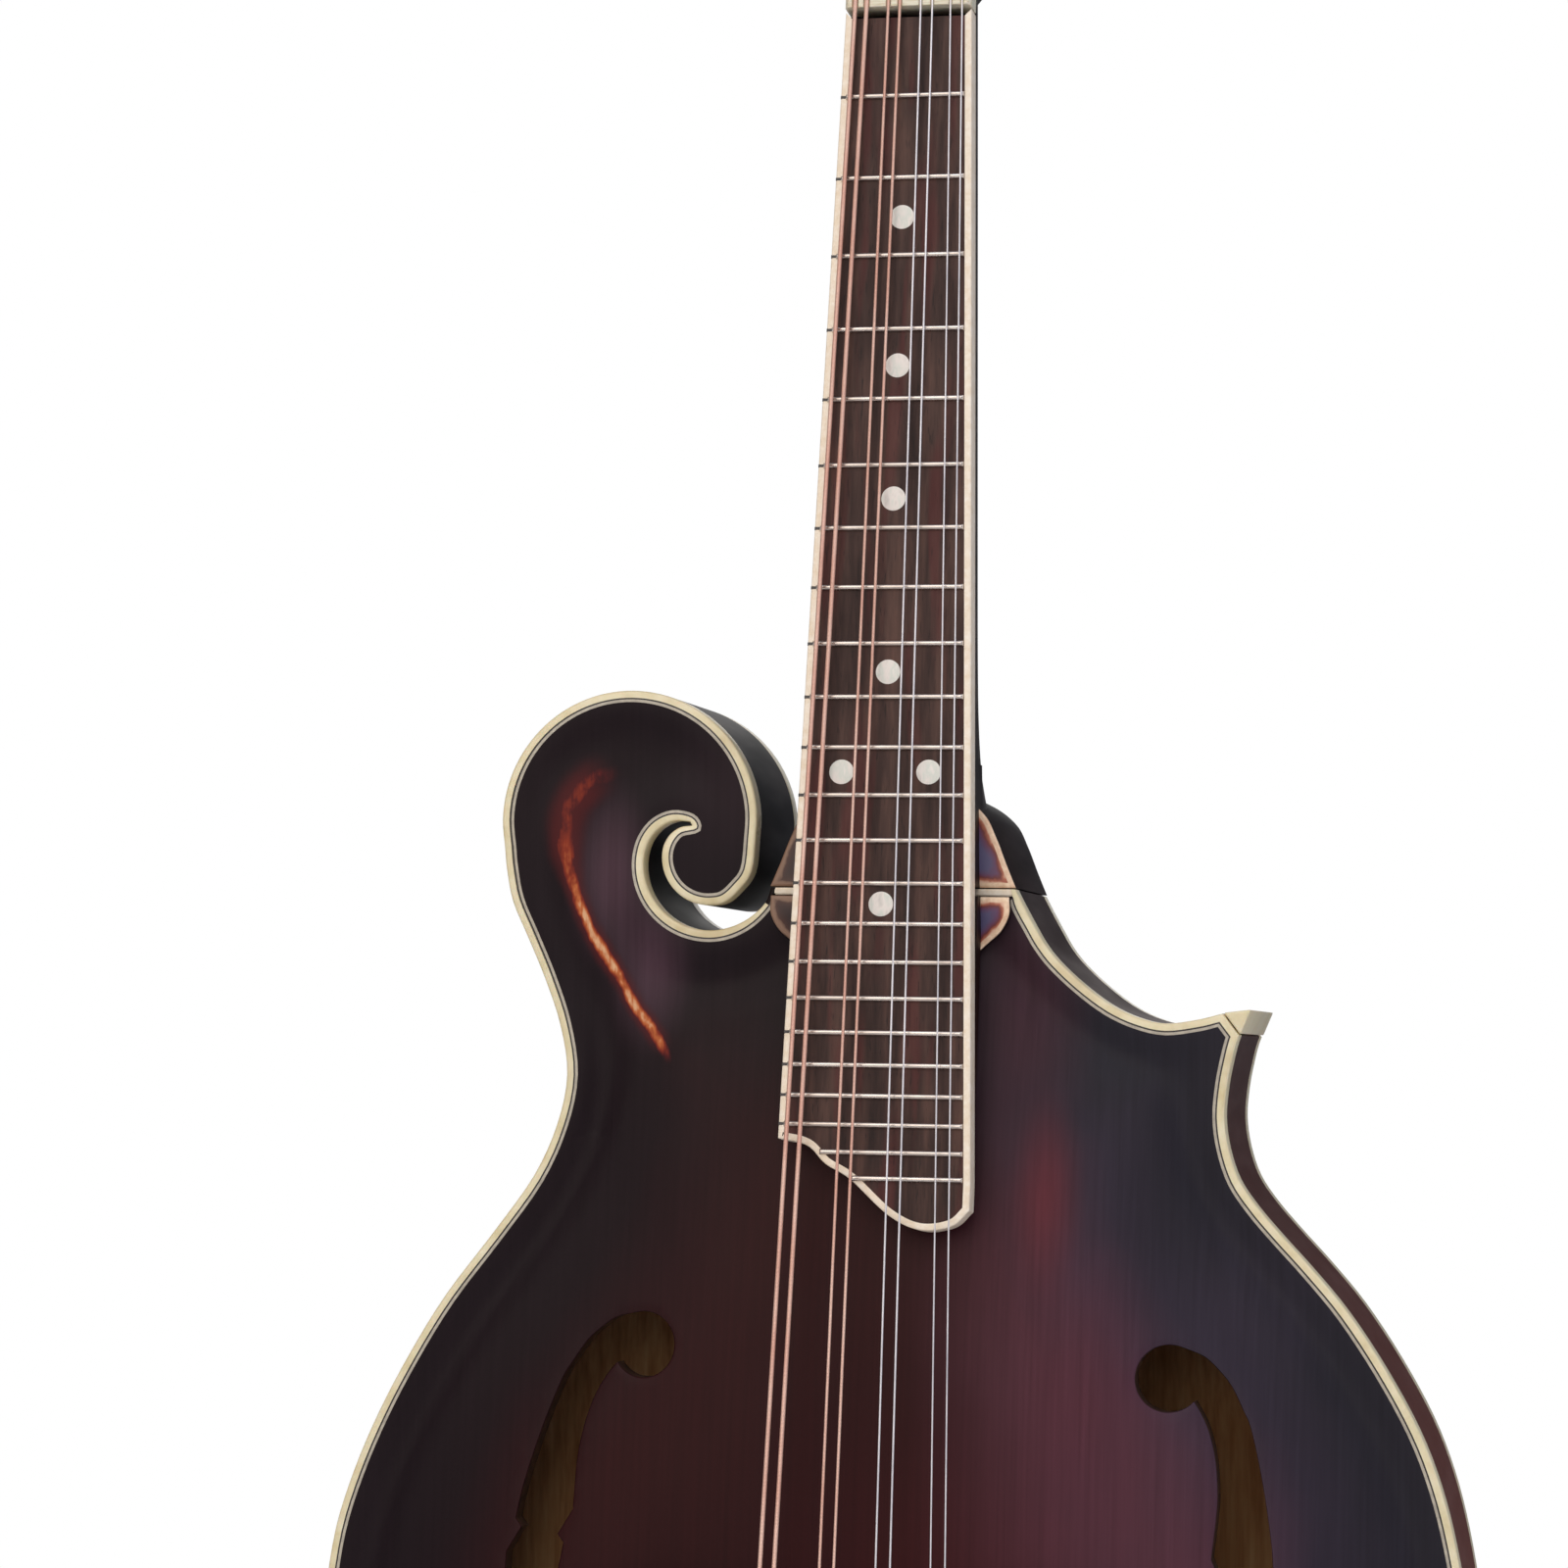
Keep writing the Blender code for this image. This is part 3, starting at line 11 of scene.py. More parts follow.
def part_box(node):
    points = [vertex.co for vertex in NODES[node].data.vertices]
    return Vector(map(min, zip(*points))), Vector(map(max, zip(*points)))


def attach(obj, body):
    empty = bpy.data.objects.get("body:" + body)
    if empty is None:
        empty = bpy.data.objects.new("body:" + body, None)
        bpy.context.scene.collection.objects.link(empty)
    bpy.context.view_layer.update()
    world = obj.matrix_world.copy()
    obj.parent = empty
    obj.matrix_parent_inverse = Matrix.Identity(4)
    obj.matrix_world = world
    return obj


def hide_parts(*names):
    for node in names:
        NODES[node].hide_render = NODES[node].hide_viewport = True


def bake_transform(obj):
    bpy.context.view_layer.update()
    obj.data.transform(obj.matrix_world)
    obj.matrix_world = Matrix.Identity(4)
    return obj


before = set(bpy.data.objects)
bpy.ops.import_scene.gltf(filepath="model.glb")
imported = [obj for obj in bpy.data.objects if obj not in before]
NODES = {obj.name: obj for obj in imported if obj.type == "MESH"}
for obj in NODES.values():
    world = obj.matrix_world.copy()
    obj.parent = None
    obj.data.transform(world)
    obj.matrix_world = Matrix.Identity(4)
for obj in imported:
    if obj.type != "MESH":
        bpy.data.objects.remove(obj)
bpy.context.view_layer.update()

# Places and sizes of the frame, in metres
NUT_Z = 0.512
RIM_FRONT, RIM_BACK = -0.0225, 0.0225
NECK_ANGLE = math.radians(5.0)
HEAD_ANGLE = math.radians(15.0)
SCALE = 0.3524
BOARD_THICK, NUT_THICK, HEAD_THICK, VENEER_THICK = 0.0055, 0.0045, 0.0135, 0.0016
GAP = 0.0003
NUT_Y = RIM_FRONT - 0.012 + 0.200 * math.sin(NECK_ANGLE)
BOARD = Matrix.Translation((0, NUT_Y, NUT_Z)) @ Matrix.Rotation(-NECK_ANGLE, 4, "X")
HEAD = BOARD @ Matrix.Translation((0, BOARD_THICK, NUT_THICK)) @ Matrix.Rotation(-HEAD_ANGLE, 4, "X")
CHUNK = 2000


# Colours and nodes
def linear(code):
    """An sRGB hex colour as linear RGBA."""
    values = [int(code[i : i + 2], 16) / 255 for i in (1, 3, 5)]
    return tuple(v / 12.92 if v <= 0.04045 else ((v + 0.055) / 1.055) ** 2.4 for v in values) + (1.0,)


def feed(socket, value):
    """Link a node's output into a socket, or set a colour or a number there."""
    value = getattr(value, "socket", value)
    if isinstance(value, bpy.types.NodeSocket):
        socket.id_data.links.new(value, socket)
    else:
        coded = isinstance(value, str) and value.startswith("#")
        socket.default_value = linear(value) if coded else value


def add(tree, kind, inputs=None, **settings):
    """Add a node with its settings, its values and its links, and return it."""
    made = tree.nodes.new(kind)
    for key, value in settings.items():
        setattr(made, key, value)
    for key, value in (inputs or {}).items():
        feed(made.inputs[key], value)
    return made


class Value:
    """A node's output that takes part in arithmetic."""

    def __init__(self, socket):
        self.socket = socket

    def __add__(self, other):
        return maths("ADD", self, other)

    def __sub__(self, other):
        return maths("SUBTRACT", self, other)

    def __rsub__(self, other):
        return maths("SUBTRACT", other, self)

    def __mul__(self, other):
        return maths("MULTIPLY", self, other)

    def __truediv__(self, other):
        return maths("DIVIDE", self, other)

    def __abs__(self):
        return maths("ABSOLUTE", self)


def worked(kind, inputs, output=0, **settings):
    """An output of a new node, in the tree that its inputs come from."""
    tree = next(v.socket.id_data for v in inputs.values() if isinstance(v, Value))
    return Value(add(tree, kind, inputs, **settings).outputs[output])


def maths(operation, a, b=0.0):
    return worked("ShaderNodeMath", {0: a, 1: b}, operation=operation)


def mix(factor, a, b, blend="MIX"):
    return worked("ShaderNodeMix", {0: factor, 6: a, 7: b}, 2, data_type="RGBA", blend_type=blend)


def ramp_of(value, *stops):
    """Colours at (place, colour) stops along a value."""
    made = worked("ShaderNodeValToRGB", {"Fac": value}, "Color")
    elements = made.socket.node.color_ramp.elements
    while len(elements) < len(stops):
        elements.new(0.5)
    for element, (place, _) in zip(elements, stops):
        element.position = place
    for element, (_, code) in zip(elements, stops):
        element.color = linear(code)
    return made


def curve_of(value, low, high, to_low=0.0, to_high=1.0, kind="SMOOTHSTEP"):
    """A value carried from one range to another, and held at its ends."""
    return worked("ShaderNodeMapRange", {
        "Value": value, "From Min": low, "From Max": high, "To Min": to_low, "To Max": to_high},
        "Result", interpolation_type=kind)


def fractal(spot, detail, rough):
    return worked("ShaderNodeTexNoise", {
        "Vector": spot, "Scale": 1.0, "Detail": detail, "Roughness": rough}, "Fac")


class Paint:
    """A material in the making, with a principled shader."""

    def __init__(self, name, roughness, metallic=0.0, **sockets):
        self.material = bpy.data.materials.new(name)
        self.material.use_nodes = True
        self.tree = self.material.node_tree
        self.set(Roughness=roughness, Metallic=metallic, **sockets)

    def set(self, **sockets):
        for key, value in sockets.items():
            feed(self.tree.nodes["Principled BSDF"].inputs[key.replace("_", " ")], value)

    def spot(self):
        """The object's own coordinates, in metres."""
        return Value(add(self.tree, "ShaderNodeTexCoord").outputs["Object"])

    def axis(self, number):
        return worked("ShaderNodeSeparateXYZ", {0: self.spot()}, number)

    def attribute(self, name):
        return Value(add(self.tree, "ShaderNodeAttribute", attribute_name=name).outputs["Fac"])

    def noise(self, scale, detail=3.0, rough=0.5, turn=(0, 0, 0)):
        """A cloudy pattern on the object, scaled and turned."""
        spot = worked("ShaderNodeMapping", {"Vector": self.spot(), "Scale": scale, "Rotation": turn})
        return fractal(spot, detail, rough)

    def near(self, place, reach, stretch):
        """1 at a place in the object, fading to 0 at a reach in metres."""
        gap = worked("ShaderNodeVectorMath", {0: self.spot(), 1: place}, operation="SUBTRACT")
        gap = worked("ShaderNodeVectorMath", {0: gap, 1: stretch}, operation="MULTIPLY")
        return curve_of(worked("ShaderNodeVectorMath", {0: gap}, "Value", operation="LENGTH"), reach, 0.0)

    def finish(self, colour, height, strength, depth, roughness=None):
        """Feed the shader its colour, relief and roughness, and return the material."""
        relief = worked("ShaderNodeBump", {"Height": height, "Strength": strength, "Distance": depth})
        self.set(Base_Color=colour, Normal=relief)
        if roughness:
            self.set(Roughness=roughness)
        return self.material


# Plan curves
def refine(points, per, closed=False, corners=None, limit=38.0):
    """Catmull-Rom curve through points that keeps their sharp corners."""
    pts = [np.array(p, float) for p in points]
    count = len(pts)
    if corners is None:
        corners = corner_flags(pts, closed, limit)
    out = []
    for i in range(count if closed else count - 1):
        p1, p2 = pts[i], pts[(i + 1) % count]
        before = pts[i - 1] if closed or i > 0 else p1
        after = pts[(i + 2) % count] if closed or i + 2 < count else p2
        p0 = 2 * p1 - p2 if corners[i] else before
        p3 = 2 * p2 - p1 if corners[(i + 1) % count] else after
        for k in range(per):
            t = k / per
            a = 2 * p1 + (p2 - p0) * t + (2 * p0 - 5 * p1 + 4 * p2 - p3) * t * t
            out.append(0.5 * (a + (3 * p1 - p0 - 3 * p2 + p3) * t ** 3))
    return [tuple(p) for p in (out if closed else out + [pts[-1]])]


def corner_flags(points, closed=False, limit=38.0):
    """True for each point where the line turns sharply, and for open ends."""
    pts = [np.array(p) for p in points]
    flags = []
    for i, here in enumerate(pts):
        a, b = here - pts[i - 1], pts[(i + 1) % len(pts)] - here
        bend = abs(math.atan2(a[0] * b[1] - a[1] * b[0], float(a @ b)))
        open_end = not closed and i in (0, len(pts) - 1)
        flags.append(open_end or math.degrees(bend) > limit)
    return flags


def plan_loops(name, side):
    """Closed outlines (x, z) of a CAD node's front (-1) or back (1) face, longest first."""
    bm = bmesh.new()
    bm.from_mesh(NODES[name].data)
    bmesh.ops.remove_doubles(bm, verts=bm.verts, dist=2e-6)
    bm.normal_update()
    links = {}
    for edge in bm.edges:
        tilts = [face.normal.y * side for face in edge.link_faces]
        if len(tilts) == 2 and max(tilts) > 0.4 and abs(min(tilts, key=abs)) < 0.25:
            a, b = edge.verts
            links.setdefault(a, []).append(b)
            links.setdefault(b, []).append(a)
    loops = []
    left = set(links)
    while left:
        start = min(left, key=lambda v: (v.co.x, v.co.z))
        loop, here, before = [start], links[start][0], start
        while here is not start and len(loop) < 4000:
            loop.append(here)
            here, before = next(v for v in links[here] if v is not before), here
        left -= set(loop)
        loops.append([(v.co.x, v.co.z) for v in loop])
    bm.free()
    return sorted(loops, key=length_of, reverse=True)


def sides_of(loop):
    return zip(loop, loop[1:] + loop[:1])


def length_of(loop):
    return sum(math.dist(a, b) for a, b in sides_of(loop))


def shortened(path, height):
    """An open path whose two ends are cut off at a height."""
    def cut(end, following):
        share = (end[1] - height) / (end[1] - following[1])
        return (end[0] + (following[0] - end[0]) * share, height)
    return [cut(path[0], path[1])] + path[1:-1] + [cut(path[-1], path[-2])]


def inside(points, loop):
    """Even-odd test of many points against one loop."""
    x, z = points[:, 0], points[:, 1]
    hit = np.zeros(len(points), bool)
    for (x0, z0), (x1, z1) in sides_of(loop):
        if z0 != z1:
            hit ^= ((z0 > z) != (z1 > z)) & (x < (x1 - x0) * (z - z0) / (z1 - z0) + x0)
    return hit


def distance(points, line, closed=True):
    """Distance of each point from a line, the nearest place along it from 0 to 1, and its side as a sign."""
    a = np.array(line, float)
    b = np.roll(a, -1, axis=0)
    if not closed:
        a, b = a[:-1], b[:-1]
    run = b - a
    size = np.maximum((run * run).sum(1), 1e-18)
    best, along, side = np.empty((3, len(points)))
    for start in range(0, len(points), CHUNK):
        part = slice(start, start + CHUNK)
        rel = points[part][:, None, :] - a[None]
        t = np.clip((rel * run).sum(2) / size, 0, 1)
        gap = rel - run * t[:, :, None]
        d = (gap * gap).sum(2)
        near = d.argmin(1)
        rows = np.arange(len(rel))
        best[part] = np.sqrt(d[rows, near])
        along[part] = (near + t[rows, near]) / len(a)
        side[part] = np.sign(run[near, 0] * rel[rows, near, 1] - run[near, 1] * rel[rows, near, 0])
    return best, along, side


def unit(vectors):
    return vectors / np.maximum(np.linalg.norm(vectors, axis=1), 1e-12)[:, None]


def inward(loop, amount, limit=0.45):
    """A closed loop moved in by an amount, with its sharp corners held back by a limit."""
    if sum(a[0] * b[1] - b[0] * a[1] for a, b in sides_of(loop)) < 0:
        amount = -amount
    pts = np.array(loop, float)
    a, b = unit(pts - np.roll(pts, 1, axis=0)), unit(np.roll(pts, -1, axis=0) - pts)
    normal = unit(np.stack([-(a + b)[:, 1], (a + b)[:, 0]], 1))
    spread = np.maximum(normal[:, 0] * -a[:, 1] + normal[:, 1] * a[:, 0], limit)
    return [tuple(p) for p in pts + normal * (amount / spread)[:, None]]


def staggered(low, high, step):
    """Staggered grid points over a plan rectangle."""
    spots = []
    row = 0
    z = low[1]
    while z < high[1]:
        xs = np.arange(low[0] + (row % 2) * step / 2, high[0], step)
        spots.append(np.stack([xs, np.full(len(xs), z)], 1))
        z += step * math.sqrt(3) / 2
        row += 1
    return np.concatenate(spots)


def clear_of(spots, loops, edge_gap, hole_gap=0.0):
    """The points inside the first loop and outside the others, clear of each by a gap."""
    keep = inside(spots, loops[0])
    for hole in loops[1:]:
        keep &= ~inside(spots, hole)
    spots = spots[keep]
    for k, loop in enumerate(loops):
        spots = spots[distance(spots, loop)[0] > (hole_gap if k else edge_gap)]
    return spots


def angles(count):
    return [2 * math.pi * k / count for k in range(count)]


def circle(radius, count, x=0.0, z=0.0):
    return [(x + radius * math.cos(a), z + radius * math.sin(a)) for a in angles(count)]


def dome(count, wide, tall):
    """Points (across, up) over a crown of half width and height one, with its curve's two powers."""
    turns = [math.pi * k / count for k in range(count + 1)]
    return [(math.copysign(abs(math.cos(a)) ** wide, math.cos(a)), math.sin(a) ** tall) for a in turns]


def level(value):
    return lambda points: np.full(len(points), value)


def eased(loop, radius, share=0.8):
    """How far a face drops near its edge, for a rounded rim."""
    def drop(points):
        gap = np.clip(distance(points, loop)[0] / radius, 0, 1)
        return radius * share * (1 - np.sqrt(np.clip(1 - (1 - gap) ** 2, 0, 1)))
    return drop


# Meshes
def linked(name, data):
    """An object of some data, in the scene."""
    made = bpy.data.objects.new(name, data)
    bpy.context.scene.collection.objects.link(made)
    return made


def make_piece(name, shape, materials, slots=None, frame_of=None, body="root", crease=35, replaces=()):
    """A named mesh at the world's origin, riding on a body, or on none."""
    mesh = bpy.data.meshes.new(name)
    mesh.from_pydata([tuple(v) for v in shape[0]], [], [tuple(f) for f in shape[1]])
    if frame_of is not None:
        mesh.transform(frame_of)
    return dress(name, mesh, materials, slots, body, crease, replaces)


def dress(name, mesh, materials, slots=None, body="root", crease=35, replaces=()):
    """Give a mesh its materials, smooth faces and sharp creases, and hand it over as a piece."""
    for material in materials:
        mesh.materials.append(material)
    if slots is not None:
        mesh.polygons.foreach_set("material_index", np.array(slots, np.int32))
    mesh.validate()
    bm = bmesh.new()
    bm.from_mesh(mesh)
    bmesh.ops.recalc_face_normals(bm, faces=bm.faces)
    bm.to_mesh(mesh)
    bm.free()
    mesh.shade_smooth()
    mesh.set_sharp_from_angle(angle=math.radians(crease))
    made = linked(name, mesh)
    if body:
        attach(made, body)
    if replaces:
        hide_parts(*replaces)
    return made


def store(made, name, values):
    """Keep a number on each vertex for the material to read."""
    made.data.attributes.new(name, "FLOAT", "POINT").data.foreach_set("value", np.asarray(values, np.float32))


def skin(rings, looped=False):
    """Vertices and faces of a loft through closed rings of equal length, capped unless it is looped."""
    count, last = len(rings[0]), len(rings) - 1
    faces = []
    for low, high in [(i, i + 1) for i in range(last)] + ([(last, 0)] if looped else []):
        for k in range(count):
            j = (k + 1) % count
            faces.append((low * count + k, low * count + j, high * count + j, high * count + k))
    if not looped:
        faces += [tuple(range(count)), tuple(reversed(range(last * count, (last + 1) * count)))]
    return [p for ring in rings for p in ring], faces


def turned(profile, segments, axis):
    """Rings for (along, radius) pairs turned about an axis."""
    rings = []
    for along, radius in profile:
        pairs = circle(radius, segments)
        rings.append([{"X": (along, u, v), "Y": (v, along, u), "Z": (u, v, along)}[axis] for u, v in pairs])
    return rings


def join(parts):
    """One list of vertices and faces from several."""
    verts, faces = [], []
    for more, these in parts:
        base = len(verts)
        verts += list(more)
        faces += [tuple(i + base for i in face) for face in these]
    return verts, faces


def rounded(edge, y, sign):
    """An eased corner of a cross-section, from its side to its face."""
    steps = np.radians((0, 30, 60, 90)) if edge else (0,)
    return [(edge * (1 - math.cos(a)), y + sign * edge * (1 - math.sin(a))) for a in steps]


def carried(outer, inner, section):
    """Rings of a cross-section (inwards, y), made for the width between two paths at each of their points."""
    rings = []
    for start, end in zip(outer, inner):
        width = max(math.dist(start, end), 1e-9)
        u, w = (end[0] - start[0]) / width, (end[1] - start[1]) / width
        rings.append([(start[0] + u * s, y, start[1] + w * s) for s, y in section(width)])
    return rings


def plate(name, loops, rows, spots, front, back, materials, tone=None, others=(0, 0), bend=None, **settings):
    """A dense plate between two height functions, with holes; returned with its plan points.

    Tone gives the front faces their slots by their middles, others gives the back's and the walls'.
    """
    lines = list(loops) + list(rows)
    points = [p for line in lines for p in line] + [tuple(p) for p in spots]
    edges = []
    base = 0
    for line in lines:
        edges += [(base + i, base + (i + 1) % len(line)) for i in range(len(line))]
        base += len(line)
    flat, _, tri, *_ = delaunay_2d_cdt([Vector(p) for p in points], edges, [], 0, 1e-8)
    flat = np.array([(p.x, p.y) for p in flat])
    middles = np.array([flat[list(f)].mean(0) for f in tri])
    keep = inside(middles, loops[0])
    for hole in loops[1:]:
        keep &= ~inside(middles, hole)
    tri = [f for f, k in zip(tri, keep) if k]
    used = sorted({i for f in tri for i in f})
    place = {old: new for new, old in enumerate(used)}
    tri = [tuple(place[i] for i in f) for f in tri]
    flat = flat[used]
    count = len(flat)
    verts = [(x, y, z) for face in (front, back) for (x, z), y in zip(flat, face(flat))]
    if bend:
        verts = [bend(*v) for v in verts]
    uses = {(f[k], f[(k + 1) % len(f)]) for f in tri for k in range(len(f))}
    walls = [(i, i + count, j + count, j) for i, j in uses if (j, i) not in uses]
    backs = [tuple(i + count for i in reversed(f)) for f in tri]
    slots = list(tone(middles[keep])) + [others[0]] * len(backs) + [others[1]] * len(walls) if tone else None
    return make_piece(name, (verts, tri + backs + walls), materials, slots, **settings), flat


# The rim's path: where the curl's tip and the wall's ends thin, and the curl's own lower side, from the nut
CURL_THINNING = {13: 0.85, 14: 0.5, 15: 0.45, 16: 0.7, 17: 0.88}
CURL_ARC = [(-0.0343, -0.1961), (-0.0314, -0.1919)]
CURL_MIDDLE = (-0.0410, -0.1890)
CURL_CORNER = 27
JOINT_THINNING = {0: 0.55, 1: 0.6, 2: 0.75, 3: 0.9, -1: 0.55}
JOINT_HALF, JOINT_DROP = 0.0285, 0.0006


def wall_paths(name):
    """Outer and inner open paths of a CAD wall that runs round the body, in step with each other."""
    loop = plan_loops(name, -1)[0]
    floor = max(z for x, z in loop if abs(x) < 0.03) - JOINT_DROP
    ends = [i for i, (x, z) in enumerate(loop) if abs(x) < JOINT_HALF and z > floor]
    outer_bass = min(ends, key=lambda i: loop[i][0])
    outer_treble = max(ends, key=lambda i: loop[i][0])
    line = loop[outer_bass:] + loop[:outer_bass]
    if line[1][1] > floor:
        line = [line[0]] + line[:0:-1]
    stop = line.index(loop[outer_treble])
    return finer_curl(line[: stop + 1], list(reversed(line[stop + 1 :])))


def thin(outer, inner, shares):
    for i, share in shares.items():
        inner[i] = tuple(o + (n - o) * share for o, n in zip(outer[i], inner[i]))


def finer_curl(outer, inner):
    """The curl as the photo has it: a thin tip, and a rounder lower side than the CAD's few points give."""
    thin(outer, inner, CURL_THINNING)
    width = math.dist(outer[CURL_CORNER + 1], inner[CURL_CORNER + 1])
    arc, within = [], []
    for x, z in CURL_ARC:
        share = width / math.dist((x, z), CURL_MIDDLE)
        arc.append((x, z + NUT_Z))
        within.append((x + (CURL_MIDDLE[0] - x) * share, z + (CURL_MIDDLE[1] - z) * share + NUT_Z))
    outer[CURL_CORNER : CURL_CORNER + 1] = arc
    inner[CURL_CORNER : CURL_CORNER + 1] = within
    thin(outer, inner, JOINT_THINNING)
    return outer, inner


OUTER = wall_paths("rim")[0]
FLAGS = corner_flags(OUTER)
SOFT_FLAGS = [flag and i not in CURL_THINNING for i, flag in enumerate(FLAGS)]

# Arching: the plates' heights, the edge's dip, the plates' ledge and thickness, the crest's line from the nut
ARCH_TOP, ARCH_BACK = 0.0145, 0.013
ARCH_FROM, ARCH_REACH = 0.008, 0.052
DIP, DIP_FROM, DIP_REACH = 0.0012, 0.003, 0.010
LEDGE, PLATE_THICK = 0.0047, 0.0056
RIDGE = [(-0.0581, -0.1687), (-0.0632, -0.1698), (-0.0687, -0.1726), (-0.0725, -0.1768), (-0.0739, -0.1828),
         (-0.0733, -0.1895), (-0.0712, -0.1972), (-0.0678, -0.2050), (-0.0633, -0.2122), (-0.0582, -0.2198),
         (-0.0526, -0.2276), (-0.0478, -0.2359)]
RIDGE = refine([(x, z + NUT_Z) for x, z in RIDGE], 6)
CREST, CREST_LEFT, CREST_RIGHT = 0.0013, 0.0056, 0.0048
HOLLOW, HOLLOW_PLACE, HOLLOW_REACH = 0.0007, 0.0120, 0.0062
CREST_FADE = 0.45


def field_of(line, step=0.0012):
    """Places along a closed line, and the length that each stands for."""
    spots, sizes = [], []
    for (x0, z0), (x1, z1) in sides_of(line):
        span = math.hypot(x1 - x0, z1 - z0)
        count = max(1, round(span / step))
        for k in range(count):
            t = (k + 0.5) / count
            spots.append((x0 + (x1 - x0) * t, z0 + (z1 - z0) * t))
            sizes.append(span / count)
    return np.array(spots), np.array(sizes)


FIELD, FIELD_SIZES = field_of(OUTER)


def edge_depth(points):
    """A smooth distance in from the outline."""
    out = np.empty(len(points))
    for start in range(0, len(points), CHUNK):
        part = slice(start, start + CHUNK)
        squared = ((points[part][:, None, :] - FIELD[None]) ** 2).sum(2)
        out[part] = math.pi / (FIELD_SIZES / np.maximum(squared, 1e-8)).sum(1)
    return out


def arching(points, height):
    depth = edge_depth(points)
    rise = np.clip((depth - ARCH_FROM) / ARCH_REACH, 0, 1)
    dip = np.clip((depth - DIP_FROM) / DIP_REACH, 0, 1)
    return height * np.sin(math.pi / 2 * rise) ** 1.5 - DIP * np.sin(math.pi * dip) ** 2


def ridge_lift(points):
    """The scroll's carved crest: a soft ridge, and a hollow between it and the slot."""
    gap, along, side = distance(points, RIDGE, closed=False)
    fade = np.clip(along / CREST_FADE, 0, 1) * np.clip((1 - along) / CREST_FADE, 0, 1)
    fade = fade * fade * (3 - 2 * fade)
    crest = CREST * np.exp(-((gap / np.where(side < 0, CREST_LEFT, CREST_RIGHT)) ** 2))
    hollow = HOLLOW * np.exp(-(((gap - HOLLOW_PLACE) / HOLLOW_REACH) ** 2)) * (side < 0)
    return (crest - hollow) * fade


def top_face(points):
    return RIM_FRONT - arching(points, ARCH_TOP) - ridge_lift(points)


def top_inner(points):
    return np.minimum(RIM_FRONT + LEDGE, RIM_FRONT - arching(points, ARCH_TOP) + PLATE_THICK)


def back_face(points):
    return RIM_BACK + arching(points, ARCH_BACK)


def back_inner(points):
    return np.maximum(RIM_BACK - LEDGE, back_face(points) - PLATE_THICK)


# Patches of the soundboard's lacquer colour: place from the nut, reach, stretch, colour and strength. The
# purple-grey ones (#5e4450 and #593f4c beside the scroll's crest, #4c2c38 and #3b3342 on the treble side) are
# painted sheen; the red and maroon ones are the stain's own.
LACQUER_Y = -0.034
STAIN_AND_SHEEN_PATCHES = [
    ((-0.0630, -0.1930), 0.020, (1.7, 0.2, 0.8), "#5e4450", 0.85),
    ((-0.0540, -0.2130), 0.018, (1.5, 0.2, 0.8), "#593f4c", 0.80),
    ((-0.0360, -0.1740), 0.022, (1.2, 0.2, 1.0), "#33242b", 0.60),
    ((-0.0360, -0.2330), 0.020, (1.2, 0.2, 0.9), "#2c181c", 0.60),
    ((0.0300, -0.2230), 0.034, (1.9, 0.2, 0.8), "#4c2c38", 0.75),
    ((0.0360, -0.2620), 0.019, (2.0, 0.2, 0.7), "#702e36", 0.70),
    ((0.0460, -0.3060), 0.032, (1.6, 0.2, 0.7), "#5e2e3c", 0.50),
    ((0.0760, -0.2880), 0.026, (1.0, 0.2, 0.9), "#3b3342", 0.60),
    ((0.0120, -0.3900), 0.075, (1.3, 0.2, 0.8), "#5e2024", 0.60),
]
SMOOTH_GRAIN = (700, 700, 60)


def worn_crest(paint):
    """How far the lacquer is rubbed off along the scroll's crest, from 0 to 1, and the scratches in it."""
    run = paint.attribute("crest_run")
    wander = (paint.noise((110, 110, 75), 3.0, 0.6) - 0.5) * 2.6
    gap = abs(paint.attribute("crest_mm") + wander)
    upper = curve_of(run, 0.60, 0.34)
    reach = upper * 2.0 + 1.9
    core = curve_of(gap / reach, 1.0, 0.1)
    ends = curve_of(run, 0.0, 0.22) * curve_of(run, 1.0, 0.90)
    scratch = paint.noise((900, 400, 130), 4.0, 0.75, (0, 0.5, 0))
    patch = curve_of(paint.noise((230, 230, 150), 3.0, 0.6), 0.28, 0.62, 0.45, 1.0)
    rubbed = core * (ends * (1.0 - upper * 0.6)) * patch * (scratch * 0.86 + 0.46)
    glow = curve_of(gap / (reach * 2.3), 1.0, 0.2)
    return maths("MAXIMUM", rubbed, glow * ends * 0.21), scratch


